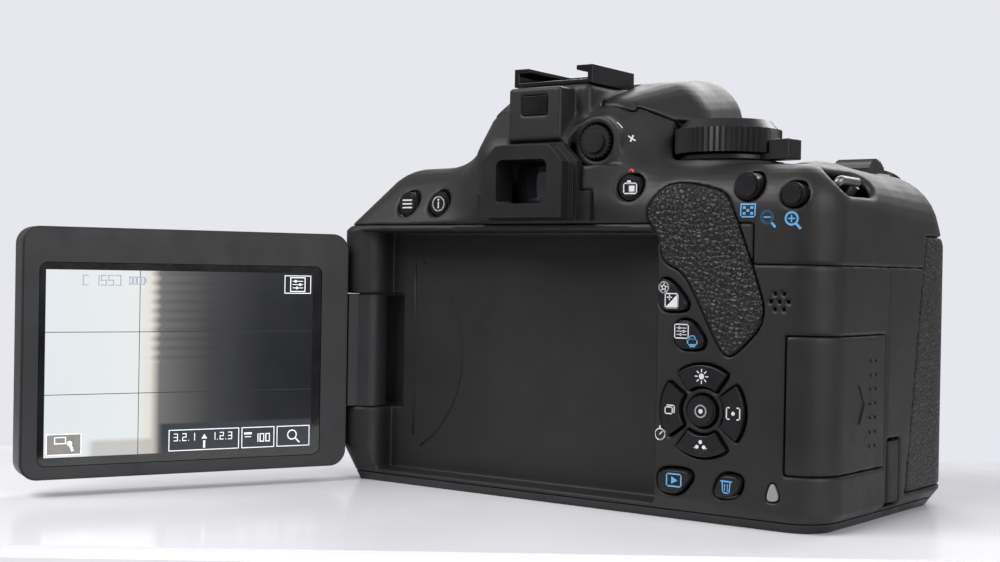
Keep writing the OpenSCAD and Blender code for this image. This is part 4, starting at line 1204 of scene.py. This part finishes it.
FLOOR = RECESS[1] + 0.02
beads("recess_ridges", [[(42.0, FLOOR, z) for z in (12, 26, 40, 54)],
                        [(x, FLOOR, z) for x, z in arc_through((39.8, 9.2), (27.4, 34.0), (39.5, 54.4))]],
      0.24, PLASTIC, BODY)


def card_door_grip():
    """Two rows of short ridges and an arrow head near the card door's front edge."""
    side = surface_of(SHELLS[6])

    def on_side(y, z):
        hit = side.ray_cast(Vector((-0.09, (y + REAR) * MM, z * MM)), Vector((1, 0, 0)))[0]
        return (hit.x / MM if hit else -69.5, y, z)

    ridges = [[on_side(y, z), on_side(y - 0.8, z)] for y in (-20.8, -23.4) for z in range(17, 36, 3)]
    arrow = [[on_side(-15.6, 30), on_side(-18.0, 26), on_side(-15.6, 22)]]
    beads("card_door_ridges", ridges + arrow, 0.34, PLASTIC, "card_door")


card_door_grip()


# ---------- Camera, light and table ----------

def set_camera():
    data = bpy.data.cameras.new("camera")
    data.sensor_width = 36.0
    data.lens = 52.55
    data.clip_start = 0.01
    camera = bpy.data.objects.new("camera", data)
    bpy.context.scene.collection.objects.link(camera)
    forward = Vector((0.5732, -0.8194, -0.0070))
    turn = forward.to_track_quat("-Z", "Y").to_matrix().to_4x4()
    roll = Matrix.Rotation(math.radians(0.987), 4, "Z")
    camera.matrix_world = Matrix.Translation((-0.1825, 0.3075, 0.0526)) @ turn @ roll
    bpy.context.scene.camera = camera
    return camera


def area_light(name, place, target, size, power, colour=(1, 1, 1)):
    data = bpy.data.lights.new(name, "AREA")
    data.shape = "RECTANGLE"
    data.size, data.size_y = size
    data.energy = power
    data.color = colour
    light = bpy.data.objects.new(name, data)
    light.location = place
    light.rotation_euler = (Vector(target) - Vector(place)).to_track_quat("-Z", "Y").to_euler()
    bpy.context.scene.collection.objects.link(light)


def set_light():
    world = bpy.data.worlds.new("studio")
    world.use_nodes = True
    tree = world.node_tree
    room = tree.nodes["Background"]
    room.inputs[0].default_value = (0.42, 0.42, 0.44, 1)
    room.inputs[1].default_value = 0.75
    backdrop = tree.nodes.new("ShaderNodeBackground")
    backdrop.inputs[0].default_value = (0.80, 0.80, 0.86, 1)
    seen = tree.nodes.new("ShaderNodeLightPath")
    choice = tree.nodes.new("ShaderNodeMixShader")
    tree.links.new(seen.outputs["Is Camera Ray"], choice.inputs[0])
    tree.links.new(room.outputs[0], choice.inputs[1])
    tree.links.new(backdrop.outputs[0], choice.inputs[2])
    tree.links.new(choice.outputs[0], tree.nodes["World Output"].inputs[0])
    bpy.context.scene.world = world
    bpy.context.scene.view_settings.view_transform = "Standard"
    centre = (0, 0, 0.05)
    area_light("key", (0.25, 0.55, 0.65), centre, (0.6, 0.5), 9.0)
    area_light("fill", (-0.75, 0.25, 0.35), centre, (0.5, 0.6), 5.0)
    area_light("rim", (0.1, -0.7, 0.6), centre, (0.9, 0.4), 7.0)


def table_top():
    """A pale glossy table whose near and far edges are close to the camera."""
    material, tree, shader = nodes_of("table_lacquer")
    slow = spread(tree, noise(tree, 9.0), 0.0, 1.0)
    tree.links.new(tint(tree, slow, (0.78, 0.77, 0.80), (0.84, 0.83, 0.86)), shader.inputs["Base Color"])
    tree.links.new(spread(tree, noise(tree, 30.0), 0.12, 0.2), shader.inputs["Roughness"])
    tree.links.new(bump(tree, noise(tree, 40.0), 0.00004), shader.inputs["Normal"])
    mesh = bmesh.new()
    bmesh.ops.create_cube(mesh, size=1.0)
    bmesh.ops.scale(mesh, verts=mesh.verts, vec=(2.4, 0.150, 0.018))
    bmesh.ops.bevel(mesh, geom=mesh.edges[:], offset=0.002, segments=3, affect="EDGES")
    data = bpy.data.meshes.new("table")
    mesh.to_mesh(data)
    data.materials.append(material)
    table = bpy.data.objects.new("table", data)
    bpy.context.scene.collection.objects.link(table)
    forward = Vector((0.5732, -0.8194, 0)).normalized()
    middle = Vector((-0.1825, 0.3075, 0)) + forward * 0.345
    table.matrix_world = Matrix.Translation(middle + Vector((0, 0, -0.009))) @ Matrix.Rotation(
        math.atan2(forward.y, forward.x) - math.pi / 2, 4, "Z")


set_camera()
set_light()
table_top()
